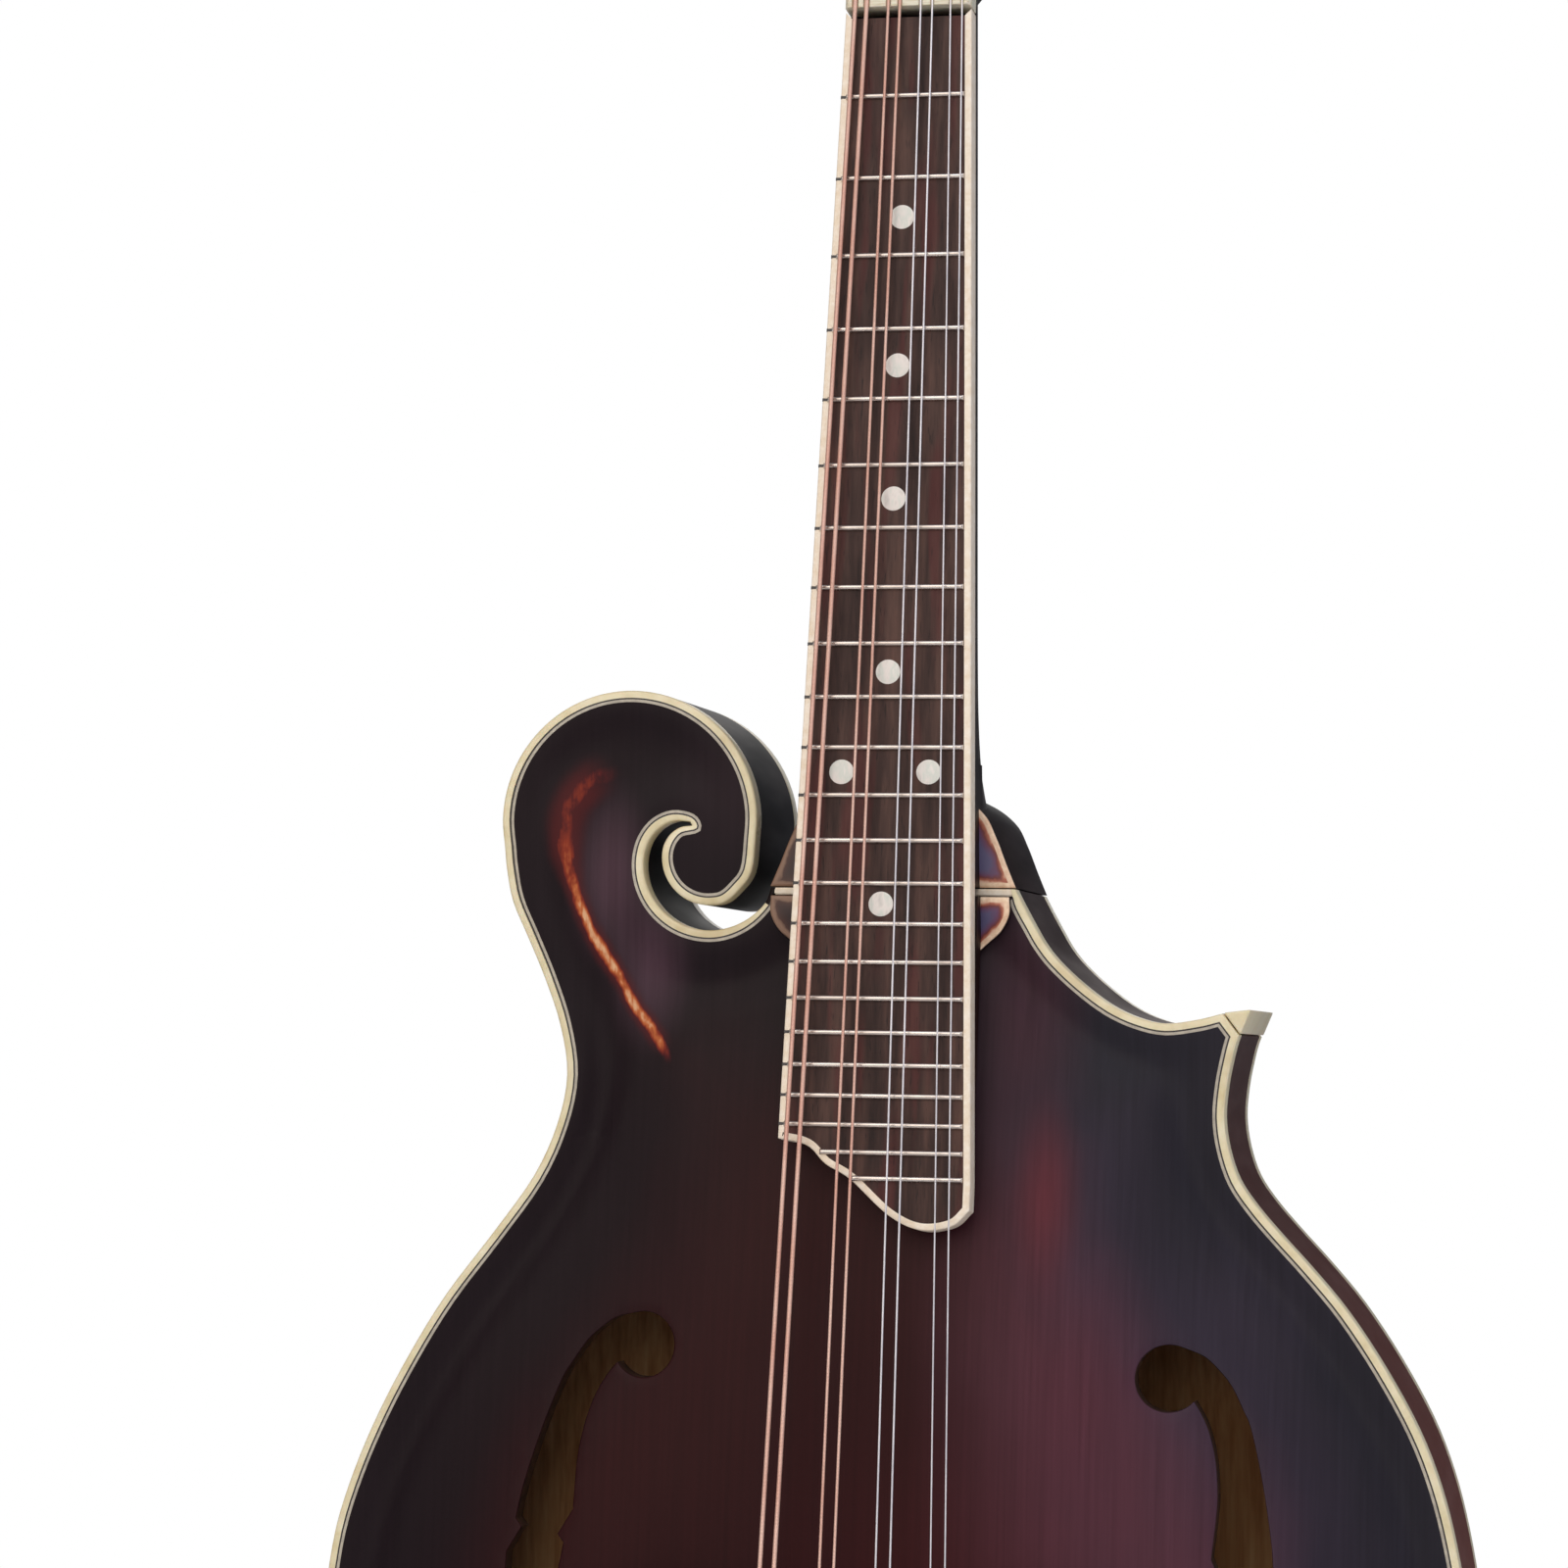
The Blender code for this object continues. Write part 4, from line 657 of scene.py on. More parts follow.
def stained_spruce():
    """Stained, lacquered spruce: near black to plum, red in patches, with painted purple-grey sheen on the
    treble half and in patches, and a crest rubbed to the wood.
    """
    paint = Paint("stained_spruce", 0.45, Coat_Weight=0.02, Coat_Roughness=0.35, Specular_IOR_Level=0.12)
    cloud = (paint.noise((26, 26, 15), 4.0, 0.55) - 0.5) * 0.5
    burst = curve_of(paint.attribute("edge_mm"), 3.0, 60.0) + cloud
    bass = ramp_of(burst, (0.0, "#1f141a"), (0.3, "#211318"), (0.65, "#2c1014"), (1.0, "#341012"))
    # The treble half's lighter purple-grey is partly the stain and partly painted sheen.
    treble = ramp_of(burst, (0.0, "#2a2831"), (0.3, "#352e3b"), (0.65, "#4b3544"), (1.0, "#5c3440"))
    colour = mix(curve_of(paint.axis(0) + cloud * 0.05, 0.004, 0.048), bass, treble)
    # Patches: the stain's own reds, and painted sheen in purple-grey.
    for (x, z), reach, stretch, tone, amount in STAIN_AND_SHEEN_PATCHES:
        here = paint.near((x, LACQUER_Y, z + NUT_Z), reach, stretch)
        colour = mix(here * (cloud + amount), colour, tone)
    grain = paint.noise((850, 200, 9), 3.0, 0.6)
    colour = mix(grain * 0.55, colour, mix(1.0, colour, "#7d6a68", "MULTIPLY"))
    worn, scratch = worn_crest(paint)
    wood = ramp_of(worn, (0.0, "#2a1217"), (0.22, "#551a1b"), (0.42, "#8a3420"), (0.66, "#c06a3c"),
                   (0.9, "#dfae84"))
    colour = mix(curve_of(worn, 0.03, 0.30), colour, wood)
    shine = curve_of(paint.noise((70, 70, 45)), 0.0, 1.0, 0.38, 0.54, "LINEAR") + worn * 0.15
    return paint.finish(colour, grain + scratch * worn, 0.10, 0.0003, shine)


def stained_maple(name, lift=1.0):
    """Stained flamed maple under lacquer: near black, with red-brown flames across the grain."""
    paint = Paint(name, 0.45, Coat_Weight=0.05, Coat_Roughness=0.3, Specular_IOR_Level=0.12)
    flame = paint.noise((55, 30, 150), 2.0, 0.45, (0.25, 0.12, 0))
    fine = paint.noise(SMOOTH_GRAIN, 3.0, 0.6)
    colour = ramp_of(flame, (0.30, "#1c1214"), (0.50, "#2b1616"), (0.66, "#43201a"), (0.80, "#552a1d"))
    low = paint.near((0.115, 0.0, 0.11), 0.24, (0.8, 0.3, 0.9))
    colour = mix(low, mix(1.0, colour, "#77716f", "MULTIPLY"), mix(0.75, colour, "#7a3828"))
    colour = mix(1.0 - lift, mix(fine * 0.35, colour, "#1a0f10"), "#120c0d")
    return paint.finish(colour, fine, 0.06, 0.0002, curve_of(flame, 0.2, 0.9, 0.54, 0.40))


def back_maple():
    """Two-piece flamed back: flames slant away from the middle joint, dark at the edges."""
    paint = Paint("flamed_back", 0.32, Coat_Weight=0.5, Coat_Roughness=0.16, Specular_IOR_Level=0.42)
    half = abs(paint.axis(0))
    slant = half * 0.35 + paint.axis(2)
    flame = fractal(worked("ShaderNodeCombineXYZ", {0: half * 22.0, 2: slant * 170.0}), 2.0, 0.45)
    colour = ramp_of(flame, (0.30, "#2a1312"), (0.48, "#441c15"), (0.64, "#642c1a"), (0.80, "#7d3d22"))
    colour = mix(curve_of(paint.attribute("edge_mm"), 3.0, 50.0), "#1c1113", colour)
    colour = mix(curve_of(half, 0.0003, 0.0006), "#1a0e0c", colour)
    return paint.finish(colour, paint.noise(SMOOTH_GRAIN, 3.0, 0.6), 0.06, 0.0002)


def ivoroid():
    """Grained cream celluloid binding, yellowed, with grime where it is handled."""
    paint = Paint("ivoroid", 0.3, Coat_Weight=0.25, Coat_Roughness=0.15,
                  Subsurface_Weight=0.08, Subsurface_Scale=0.001)
    lines = paint.noise((160, 2400, 160), 3.0, 0.6)
    age = paint.noise((38, 38, 38), 4.0, 0.6)
    colour = ramp_of(lines, (0.25, "#d9c99c"), (0.5, "#e9dcb6"), (0.75, "#f2e8cb"))
    colour = mix(curve_of(age, 0.5, 0.78, 0.0, 0.55), colour, "#b9a06c")
    return paint.finish(colour, age, 0.05, 0.0003, curve_of(age, 0.3, 0.8, 0.26, 0.44))


def lined(name, dark, pale, rough):
    """A thin glued line of dyed wood, with short fibres in its tone."""
    paint = Paint(name, rough, Coat_Weight=0.3, Coat_Roughness=0.2)
    fibre = paint.noise((500, 500, 500), 3.0, 0.7)
    return paint.finish(ramp_of(fibre, (0.3, dark), (0.7, pale)), fibre, 0.08, 0.0002)


def raw_wood():
    """Bare spruce and maple inside: pale brown, open grain, matt."""
    paint = Paint("bare_wood", 0.82, Specular_IOR_Level=0.3)
    grain = paint.noise((500, 500, 14), 3.0, 0.65)
    patch = curve_of(paint.noise((30, 30, 12)), 0.4, 0.75, 0.0, 0.5)
    colour = ramp_of(grain, (0.3, "#a8764a"), (0.55, "#c49566"), (0.8, "#d3ab7c"))
    return paint.finish(mix(patch, colour, "#9a6038"), grain, 0.3, 0.0004)


SPRUCE = stained_spruce()
MAPLE = stained_maple("stained_maple")
BACK_MAPLE = back_maple()
IVOROID = ivoroid()
DARK_LINE = lined("dark_fibre_line", "#191315", "#2c2326", 0.4)
PALE_LINE = lined("pale_fibre_line", "#a39a8c", "#c4bba9", 0.42)
HOLE_WALL = lined("stained_edge_grain", "#1d0e09", "#3c2314", 0.55)
RAW = raw_wood()

# Soundboard
PLATE_START = NUT_Z - 0.1971
TOP_EDGE = refine(shortened(wall_paths("top_binding")[1], PLATE_START), 4, corners=SOFT_FLAGS)
DARK_TO, PALE_TO, BACK_DARK_TO = 0.00035, 0.00095, 0.0006
HOLE_EASE = 0.0004
BODY_AREA = (-0.130, 0.018), (0.130, 0.362)
SCROLL = (-0.098, 0.262), (-0.018, 0.360)

# The treble f-hole from the nut: its eye, both sides of its stem, its nick and its middle
EYE, EYE_RADIUS = (0.0629, -0.2994), 0.0071
EYE_FROM, EYE_TO = 72, 318
STEM_OUT = [(0.0850, -0.3340), (0.0830, -0.3215), (0.0804, -0.3102), (0.0785, -0.3057), (0.0760, -0.3008),
            (0.0732, -0.2974), (0.0700, -0.2946)]
STEM_IN = [(0.0683, -0.3042), (0.0697, -0.3064), (0.0714, -0.3100), (0.0728, -0.3150), (0.0735, -0.3205),
           (0.0736, -0.3265), (0.0726, -0.3370)]
NICK_TIP, NICK_EDGE = (0.0838, -0.3430), (0.0855, -0.3415)
HOLE_MIDDLE = (0.0795, -0.3430)
BASS_EYE, BASS_LEAN = (-0.0519, -0.2953), math.radians(8)


def f_holes():
    """Both f-holes: the treble one, and the same turned over and leaned on the bass side."""
    turns = [math.radians(a) for a in range(EYE_FROM, EYE_TO + 1, 6)]
    eye = [(EYE[0] + EYE_RADIUS * math.cos(a), EYE[1] + EYE_RADIUS * math.sin(a)) for a in turns]
    upper = [NICK_TIP] + refine([NICK_EDGE] + STEM_OUT + [eye[0]], 6)[:-1] + eye + refine(STEM_IN, 6)
    lower = [(2 * HOLE_MIDDLE[0] - x, 2 * HOLE_MIDDLE[1] - z) for x, z in upper]
    treble, bass = [], []
    c, s = math.cos(BASS_LEAN), math.sin(BASS_LEAN)
    for x, z in upper + lower:
        treble.append((x, z + NUT_Z))
        across, up = EYE[0] - x, z - EYE[1]
        bass.append((BASS_EYE[0] + across * c + up * s, BASS_EYE[1] - across * s + up * c + NUT_Z))
    return [treble, bass]


HOLES = f_holes()


def plate_spots(loops, step, fine):
    """Grid points inside a plate and clear of its edge rows, finer round the scroll."""
    coarse = staggered(*BODY_AREA, step)
    low, high = np.array(SCROLL)
    coarse = coarse[~((coarse > low) & (coarse < high)).all(1)]
    return clear_of(np.concatenate([coarse, staggered(*SCROLL, fine)]), loops, 0.0015, 0.0011)


def softened_front(points):
    """The arched face with the f-holes' edges eased."""
    return top_face(points) + sum(eased(hole, HOLE_EASE, 0.7)(points) for hole in HOLES)


def from_edge(points, edge):
    return distance(points, edge, closed=False)[0]


def build_top():
    def tone(middles):
        gap = from_edge(middles, TOP_EDGE)
        return np.where(gap < DARK_TO, 1, np.where(gap < PALE_TO, 2, 0))

    loops = [TOP_EDGE] + HOLES
    rows = [inward(TOP_EDGE, gap) for gap in (DARK_TO, PALE_TO)]
    rows += [inward(hole, -gap) for hole in HOLES for gap in (0.00012, HOLE_EASE)]
    spots = plate_spots(loops, 0.0027, 0.0014)
    made, flat = plate("carved_top", loops, rows, spots, softened_front, top_inner,
                       [SPRUCE, DARK_LINE, PALE_LINE, HOLE_WALL, RAW], tone, (4, 3), crease=40,
                       replaces=["top_plate"])
    gap, along, side = distance(flat, RIDGE, closed=False)
    store(made, "edge_mm", np.tile(from_edge(flat, TOP_EDGE) * 1000, 2))
    store(made, "crest_mm", np.tile(gap * side * 1000, 2))
    store(made, "crest_run", np.tile(along, 2))


def build_back():
    def tone(middles):
        return np.where(from_edge(middles, edge) < BACK_DARK_TO, 1, 0)

    edge = refine(wall_paths("back_binding")[1], 3, corners=SOFT_FLAGS)
    spots = plate_spots([edge], 0.0034, 0.0026)
    made, flat = plate("carved_back", [edge], [inward(edge, BACK_DARK_TO)], spots, back_face, back_inner,
                       [BACK_MAPLE, DARK_LINE, RAW], tone, (2, 0), crease=40, replaces=["back_plate"])
    store(made, "edge_mm", np.tile(from_edge(flat, edge) * 1000, 2))


# Binding and ribs: one cross-section carried round the outline
def walls_round(name, node, front_edge, back_edge, material, crease, low_y=None, high_y=None):
    """A wall between a CAD node's two paths, with its outer corners rounded by two radii."""
    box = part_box(node)
    low_y, high_y = low_y or box[0][1], high_y or box[1][1]

    def section(width):
        return ([(width, low_y)] + rounded(front_edge, low_y, 1)[::-1] + rounded(back_edge, high_y, -1)
                + [(width, high_y)])

    outer, inner = wall_paths(node)
    rings = carried(refine(outer, 4, corners=FLAGS), refine(inner, 4, corners=SOFT_FLAGS), section)
    shape = skin(rings)
    stained = 4 * len(rings[0]) if node == "top_binding" else 0
    slots = [1] * stained + [0] * (len(shape[1]) - stained)
    make_piece(name, shape, [material, MAPLE], slots, crease=crease, replaces=[node])


build_top()
build_back()
walls_round("top_edge_binding", "top_binding", 0.0006, 0, IVOROID, 40, low_y=RIM_FRONT)
walls_round("back_edge_binding", "back_binding", 0, 0.0006, IVOROID, 40, high_y=RIM_BACK)
walls_round("ribs", "rim", 0, 0, MAPLE, 35)


# Repeated small parts: one unit set on points by Geometry Nodes
def placing_tree():
    """Inputs: the points, the unit and its material. Each point carries a turn and a size."""
    tree = bpy.data.node_groups.new("place_units", "GeometryNodeTree")
    for label, kind in (("Geometry", "Geometry"), ("Unit", "Object"), ("Material", "Material")):
        tree.interface.new_socket(label, in_out="INPUT", socket_type="NodeSocket" + kind)
    tree.interface.new_socket("Geometry", in_out="OUTPUT", socket_type="NodeSocketGeometry")
    into = add(tree, "NodeGroupInput").outputs
    unit = add(tree, "GeometryNodeObjectInfo", {"Object": into["Unit"]})
    turn, size = [
        add(tree, "GeometryNodeInputNamedAttribute", {"Name": label}, data_type="FLOAT_VECTOR").outputs[0]
        for label in ("turn", "size")]
    placed = add(tree, "GeometryNodeInstanceOnPoints", {
        "Points": into["Geometry"], "Instance": unit.outputs["Geometry"], "Rotation": turn, "Scale": size})
    real = add(tree, "GeometryNodeRealizeInstances", {0: placed.outputs[0]})
    painted = add(tree, "GeometryNodeSetMaterial", {
        "Geometry": real.outputs[0], "Material": into["Material"]})
    add(tree, "NodeGroupOutput", {0: painted.outputs[0]})
    return tree, {item.name: item.identifier for item in tree.interface.items_tree if item.in_out == "INPUT"}


PLACING, PLACING_INPUTS = placing_tree()


def repeat(name, spots, shape, material, frame_of, replaces=()):
    """Copies of a shape (vertices, faces) at (place, turn, size) spots, as one plain mesh."""
    mesh = bpy.data.meshes.new(name + "_unit")
    mesh.from_pydata([tuple(v) for v in shape[0]], [], [tuple(f) for f in shape[1]])
    source = linked(name + "_unit", mesh)
    points = bpy.data.meshes.new(name + "_points")
    points.from_pydata([spot[0] for spot in spots], [], [])
    for label, column in (("turn", 1), ("size", 2)):
        flat = [value for spot in spots for value in spot[column]]
        points.attributes.new(label, "FLOAT_VECTOR", "POINT").data.foreach_set("vector", flat)
    holder = linked(name + "_points", points)
    modifier = holder.modifiers.new("place", "NODES")
    modifier.node_group = PLACING
    modifier[PLACING_INPUTS["Unit"]] = source
    modifier[PLACING_INPUTS["Material"]] = material
    graph = bpy.context.evaluated_depsgraph_get()
    graph.update()
    mesh = bpy.data.meshes.new_from_object(holder.evaluated_get(graph))
    mesh.name = name
    mesh.materials.clear()
    for item in (source, holder):
        bpy.data.objects.remove(item)
    mesh.transform(frame_of)
    dress(name, mesh, [material], replaces=replaces)


# More materials
def rosewood(name, dark, middle, pale, rough=0.48, red=0.25):
    """Oiled rosewood: long dark streaks along the board, redder lanes and short open pores."""
    paint = Paint(name, rough, Specular_IOR_Level=0.25)
    streak = paint.noise((330, 330, 9), 4.0, 0.6)
    pore = curve_of(paint.noise((1900, 1900, 150), 2.0, 0.5), 0.60, 0.72)
    lane = curve_of(paint.noise((260, 260, 3), 2.0, 0.4), 0.50, 0.66, 0.0, red)
    colour = mix(lane, ramp_of(streak, (0.28, dark), (0.5, middle), (0.74, pale)), "#552322")
    shine = curve_of(streak, 0.3, 0.7, rough + 0.08, rough - 0.08)
    return paint.finish(mix(pore * 0.55, colour, "#150d0d"), streak - pore, 0.16, 0.0002, shine)


def plated(name, bright, dull, rough, metallic=1.0):
    """Plated or drawn metal: faint handling marks and a dulled tone in patches."""
    paint = Paint(name, rough, metallic)
    cloud = paint.noise((90, 90, 90), 4.0, 0.6)
    fine = paint.noise((900, 900, 260), 2.0, 0.6)
    shine = curve_of(cloud, 0.3, 0.8, rough, rough + 0.07) + fine * 0.05
    return paint.finish(ramp_of(cloud, (0.35, bright), (0.72, dull)), fine, 0.03, 0.0001, shine)


def wound_bronze():
    """Bronze winding: close rings of wire across the string, dulled in patches, with painted shade in the
    grooves between the turns.
    """
    paint = Paint("bronze_winding", 0.42, 0.55)
    ring = maths("SINE", paint.attribute("run_mm") * (2 * math.pi / 0.28))
    colour = ramp_of(paint.noise((60, 60, 60)), (0.3, "#ffd8c6"), (0.7, "#ecb4a0"))
    # Darker in the grooves between the winding's turns: painted shade.
    colour = mix(curve_of(ring, -1.0, -0.2, 0.35, 0.0), colour, "#7a4a38")
    return paint.finish(colour, ring, 0.5, 0.00006)


def pearl(name):
    """Shell inlay: layered grey-white that shifts from pinkish to greenish in soft bands."""
    paint = Paint(name, 0.25, Coat_Weight=0.4, Coat_Roughness=0.1)
    layer = paint.noise((420, 420, 180), 3.0, 0.5, (0.3, 0.5, 0.2))
    colour = ramp_of(layer, (0.3, "#cfc9c2"), (0.45, "#e9e1da"), (0.6, "#d6d9d0"), (0.75, "#f3e9e3"))
    return paint.finish(colour, layer, 0.03, 0.0001)


def worn_varnish(name, *tones):
    """Varnish rubbed through towards a rim: five tones from the rim inwards; the inner tones that callers give
    carry painted sheen or painted shade.
    """
    paint = Paint(name, 0.42, Coat_Weight=0.1, Coat_Roughness=0.25)
    blot = paint.noise((240, 240, 170), 3.0, 0.55)
    deep = paint.attribute("rim_mm") + (blot - 0.5) * 2.4
    colour = ramp_of(curve_of(deep, 0.6, 4.4), *zip((0.0, 0.10, 0.26, 0.5, 0.9), tones))
    return paint.finish(colour, blot, 0.15, 0.0004)


def bone():
    """Polished bone: warm white with fine lengthwise canals."""
    paint = Paint("polished_bone", 0.32, Subsurface_Weight=0.1, Subsurface_Scale=0.001)
    canal = paint.noise((250, 2600, 2600), 2.0, 0.5)
    colour = ramp_of(canal, (0.3, "#d3c7a6"), (0.55, "#e7dfc8"), (0.8, "#efe9d6"))
    return paint.finish(colour, canal, 0.04, 0.0001)


BOARD_WOOD = rosewood("rosewood_board", "#251614", "#3f2924", "#5c3e35", 0.5, 0.6)
BRIDGE_WOOD = rosewood("rosewood_bridge", "#1d1212", "#2f1e1e", "#432b28", 0.42)
PIN_EBONY = rosewood("ebony_pin", "#0d0a0a", "#171212", "#241c1a", 0.3)
FRET_METAL = plated("nickel_silver", "#e4dad2", "#c8bbb1", 0.24)
NICKEL = plated("polished_nickel", "#dcd7cf", "#cbc5bb", 0.24)
STEEL = plated("plain_steel", "#f1eef2", "#cfcdd4", 0.34, 0.6)
GEAR_BRASS = plated("gear_brass", "#cfa968", "#a07e45", 0.3)
BRONZE = wound_bronze()
PEARL = pearl("mother_of_pearl")
BUTTON_PEARL = pearl("pearloid_button")
# Treble shoulders: a pale rubbed rim, then red, then purple and purple-blue; the purple-blue middle is painted
# sky sheen.
RUBBED_WITH_SHEEN = worn_varnish("rubbed_varnish_with_sheen", "#f0c8aa", "#b9694f", "#74302f", "#6a4060", "#5a5478")
# Bass shoulders: the same rubbed varnish, darker all over: painted shade.
SHADED_RUBBED = worn_varnish("shaded_rubbed_varnish", "#8a6a56", "#4a281e", "#3e1f17", "#361813", "#2a1414")
BONE = bone()
BOARD_EDGE_CREAM = lined("board_edge_celluloid", "#f0dcc0", "#fff3e2", 0.36)
NECK_MAPLE = stained_maple("neck_maple", 0.85)
DARK_SHOULDER = stained_maple("dark_shoulder", 0.55)
WORN_RIM = lined("worn_pale_rim", "#e3b894", "#ffe3c4", 0.45)
VENEER = lined("black_veneer", "#100d0d", "#1c1819", 0.3)

# Fingerboard, in its own frame: x across, y back from the playing surface, z up from the nut
BOARD_EDGE, BOARD_EASE = 0.0015, 0.0004
BOARD_END = [(-0.0210, 0.2508), (-0.0146, 0.2522), (-0.0104, 0.2561), (-0.0049, 0.2593),
             (0.0035, 0.2667), (0.0105, 0.2698), (0.0174, 0.2689), (0.0212, 0.2655)]
BOARD_END = refine(BOARD_END, 8, corners=[True] + [False] * 6 + [True])
BOARD_SIDE = (0.0003, 0.070, 0.140, 0.200, 0.240, 0.2600)
FRET_COUNT = 23
FRET_WIDTH, FRET_HEIGHT, FRET_FOOT = 0.0012, 0.0009, 0.0003
FRET_ENDS = (-0.5, 0.45), (-0.497, 0.78), (-0.490, 0.96), (-0.48, 1)
DOTS = [(0.0, 0.0474), (0.0, 0.0809), (0.0, 0.1107), (0.0, 0.1491), (-0.0096, 0.1711), (0.0096, 0.1711),
        (0.0, 0.1999)]
DOT_RADIUS, DOT_DEPTH = 0.0027, 0.0004
UPRIGHT, FULL_SIZE = (0, 0, 0), (1, 1, 1)


def board_half(distance_down):
    return (0.02835 + 0.0546 * distance_down) / 2


def build_board():
    line = [(board_half(d), -d) for d in BOARD_SIDE] + [(x, -d) for x, d in reversed(BOARD_END)]
    line += [(-board_half(d), -d) for d in BOARD_SIDE[-2::-1]]
    inner = inward(line, BOARD_EDGE)
    plate("rosewood_fingerboard", [inner], [], [], level(0.0), level(BOARD_THICK), [BOARD_WOOD],
          frame_of=BOARD, replaces=["fingerboard"])

    def section(width):
        return ([(width, 0.0)] + rounded(BOARD_EASE, 0.0, 1)[::-1]
                + [(0.0, BOARD_THICK), (width, BOARD_THICK)])

    make_piece("board_edge_binding", skin(carried(line, inner, section)), [BOARD_EDGE_CREAM], frame_of=BOARD,
               crease=40, replaces=["fingerboard_binding"])


def board_start(distance_down):
    """Where the board's curved end begins, across, at a distance from the nut."""
    spots = [x for (x, d), (_, e) in zip(BOARD_END, BOARD_END[1:]) if d <= distance_down <= e]
    return spots[0] if spots else -board_half(distance_down)


def fret_unit():
    """A crowned bar one metre long, with its ends drawn down."""
    rings = []
    for along, share in FRET_ENDS + tuple((-along, share) for along, share in FRET_ENDS[::-1]):
        crown = [(along, -FRET_HEIGHT * share * v, -FRET_WIDTH / 2 * u) for u, v in dome(8, 1, 0.8)]
        rings.append([(along, FRET_FOOT, -FRET_WIDTH / 2)] + crown + [(along, FRET_FOOT, FRET_WIDTH / 2)])
    return skin(rings)


def box_unit(half):
    """A small block of given half sizes, its edges eased by a share of the least."""
    mesh = bmesh.new()
    bmesh.ops.create_cube(mesh, size=2.0)
    bmesh.ops.scale(mesh, vec=half, verts=mesh.verts)
    bmesh.ops.bevel(mesh, geom=mesh.edges[:], offset=min(half) * 0.3, segments=2, affect="EDGES")
    shape = [v.co.copy() for v in mesh.verts], [tuple(v.index for v in f.verts) for f in mesh.faces]
    mesh.free()
    return shape


def build_frets():
    spots, nicks = [], []
    for number in range(1, FRET_COUNT + 1):
        down = SCALE * (1 - 2 ** (-number / 12))
        half = board_half(down)
        low, high = max(-half + 0.0008, board_start(down) + 0.0012), half - BOARD_EDGE - 0.0001
        spots.append((((low + high) / 2, 0.0, -down), UPRIGHT, (high - low, 1, 1)))
        if low < -half + BOARD_EDGE:
            nicks.append(((-half + 0.0006, 0.0003, -down), UPRIGHT, FULL_SIZE))
    repeat("frets", spots, fret_unit(), FRET_METAL, BOARD, ["fingerboard"])
    repeat("fret_end_nicks", nicks, box_unit((0.00062, 0.00034, 0.00042)), DARK_LINE, BOARD)
    disc = turned([(DOT_DEPTH, DOT_RADIUS), (-0.00002, DOT_RADIUS), (-0.00006, DOT_RADIUS * 0.94)], 32, "Y")
    dots = [((x, 0.0, -d), (0, 0.7 * k, 0), FULL_SIZE) for k, (x, d) in enumerate(DOTS)]
    repeat("pearl_dots", dots, skin(disc), PEARL, BOARD)


build_board()
build_frets()

# Strings: each course's middle at the nut and the bridge, its radius, and what holds its ends
COURSES = (("g", -0.0105, -0.0195, 0.00050), ("d", -0.0030, -0.0065, 0.00033),
           ("a", 0.0043, 0.0057, 0.00022), ("e", 0.0110, 0.0176, 0.00018))
PAIR_AT_NUT, PAIR_AT_BRIDGE = 0.0026, 0.0031
LIFT_NUT, LIFT_BRIDGE = 0.0016, 0.0045
BEDDED = 0.00008
TAIL_Z = 0.018
HOOK_Z, HOOK_STEP, LOOP_RADIUS = TAIL_Z + 0.070, 0.004, 0.0013
POSTS = {"g1": (-1, 0), "g2": (-1, 1), "d1": (-1, 2), "d2": (-1, 3),
         "e2": (1, 0), "e1": (1, 1), "a2": (1, 2), "a1": (1, 3)}
POST_X, POST_FIRST, POST_STEP, POST_RADIUS = 0.0185, 0.038, 0.023, 0.003
POST_REACH = GAP + VENEER_THICK + 0.0115
WRAP_Y, WRAP_TURNS = -VENEER_THICK - GAP - 0.0078, 10 / 9


def post_place(name):
    """A post's place in the headstock's frame, across and up."""
    sign, row = POSTS[name]
    return sign * POST_X, POST_FIRST + row * POST_STEP


def tail_lift(z):
    """How far the tailpiece stands off the rim's front at a height."""
    share = min(max((z - TAIL_Z) / 0.078, 0.0), 1.0)
    return 0.0024 + 0.0163 * math.sin(share * math.pi / 2)


def sweep(path, radius, segments):
    """The rings of a round tube along a path, kept from twisting, and the length run at each point."""
    points = [Vector(p) for p in path]
    rings, runs, run = [], [], 0.0
    side = Vector((1, 0, 0))
    for i, here in enumerate(points):
        ahead = (points[min(i + 1, len(points) - 1)] - points[max(i - 1, 0)]).normalized()
        side = (side - ahead * side.dot(ahead)).normalized()
        other = ahead.cross(side)
        run += (here - points[i - 1]).length if i else 0.0
        rings.append([here + side * u + other * v for u, v in circle(radius, segments)])
        runs.append([run * 1000] * segments)
    return rings, runs


def smooth_run(points, per):
    return [Vector(p) for p in refine(points, per, corners=[False] * len(points))]


def between(a, b, count, first=0):
    return [a.lerp(b, k / count) for k in range(first, count)]


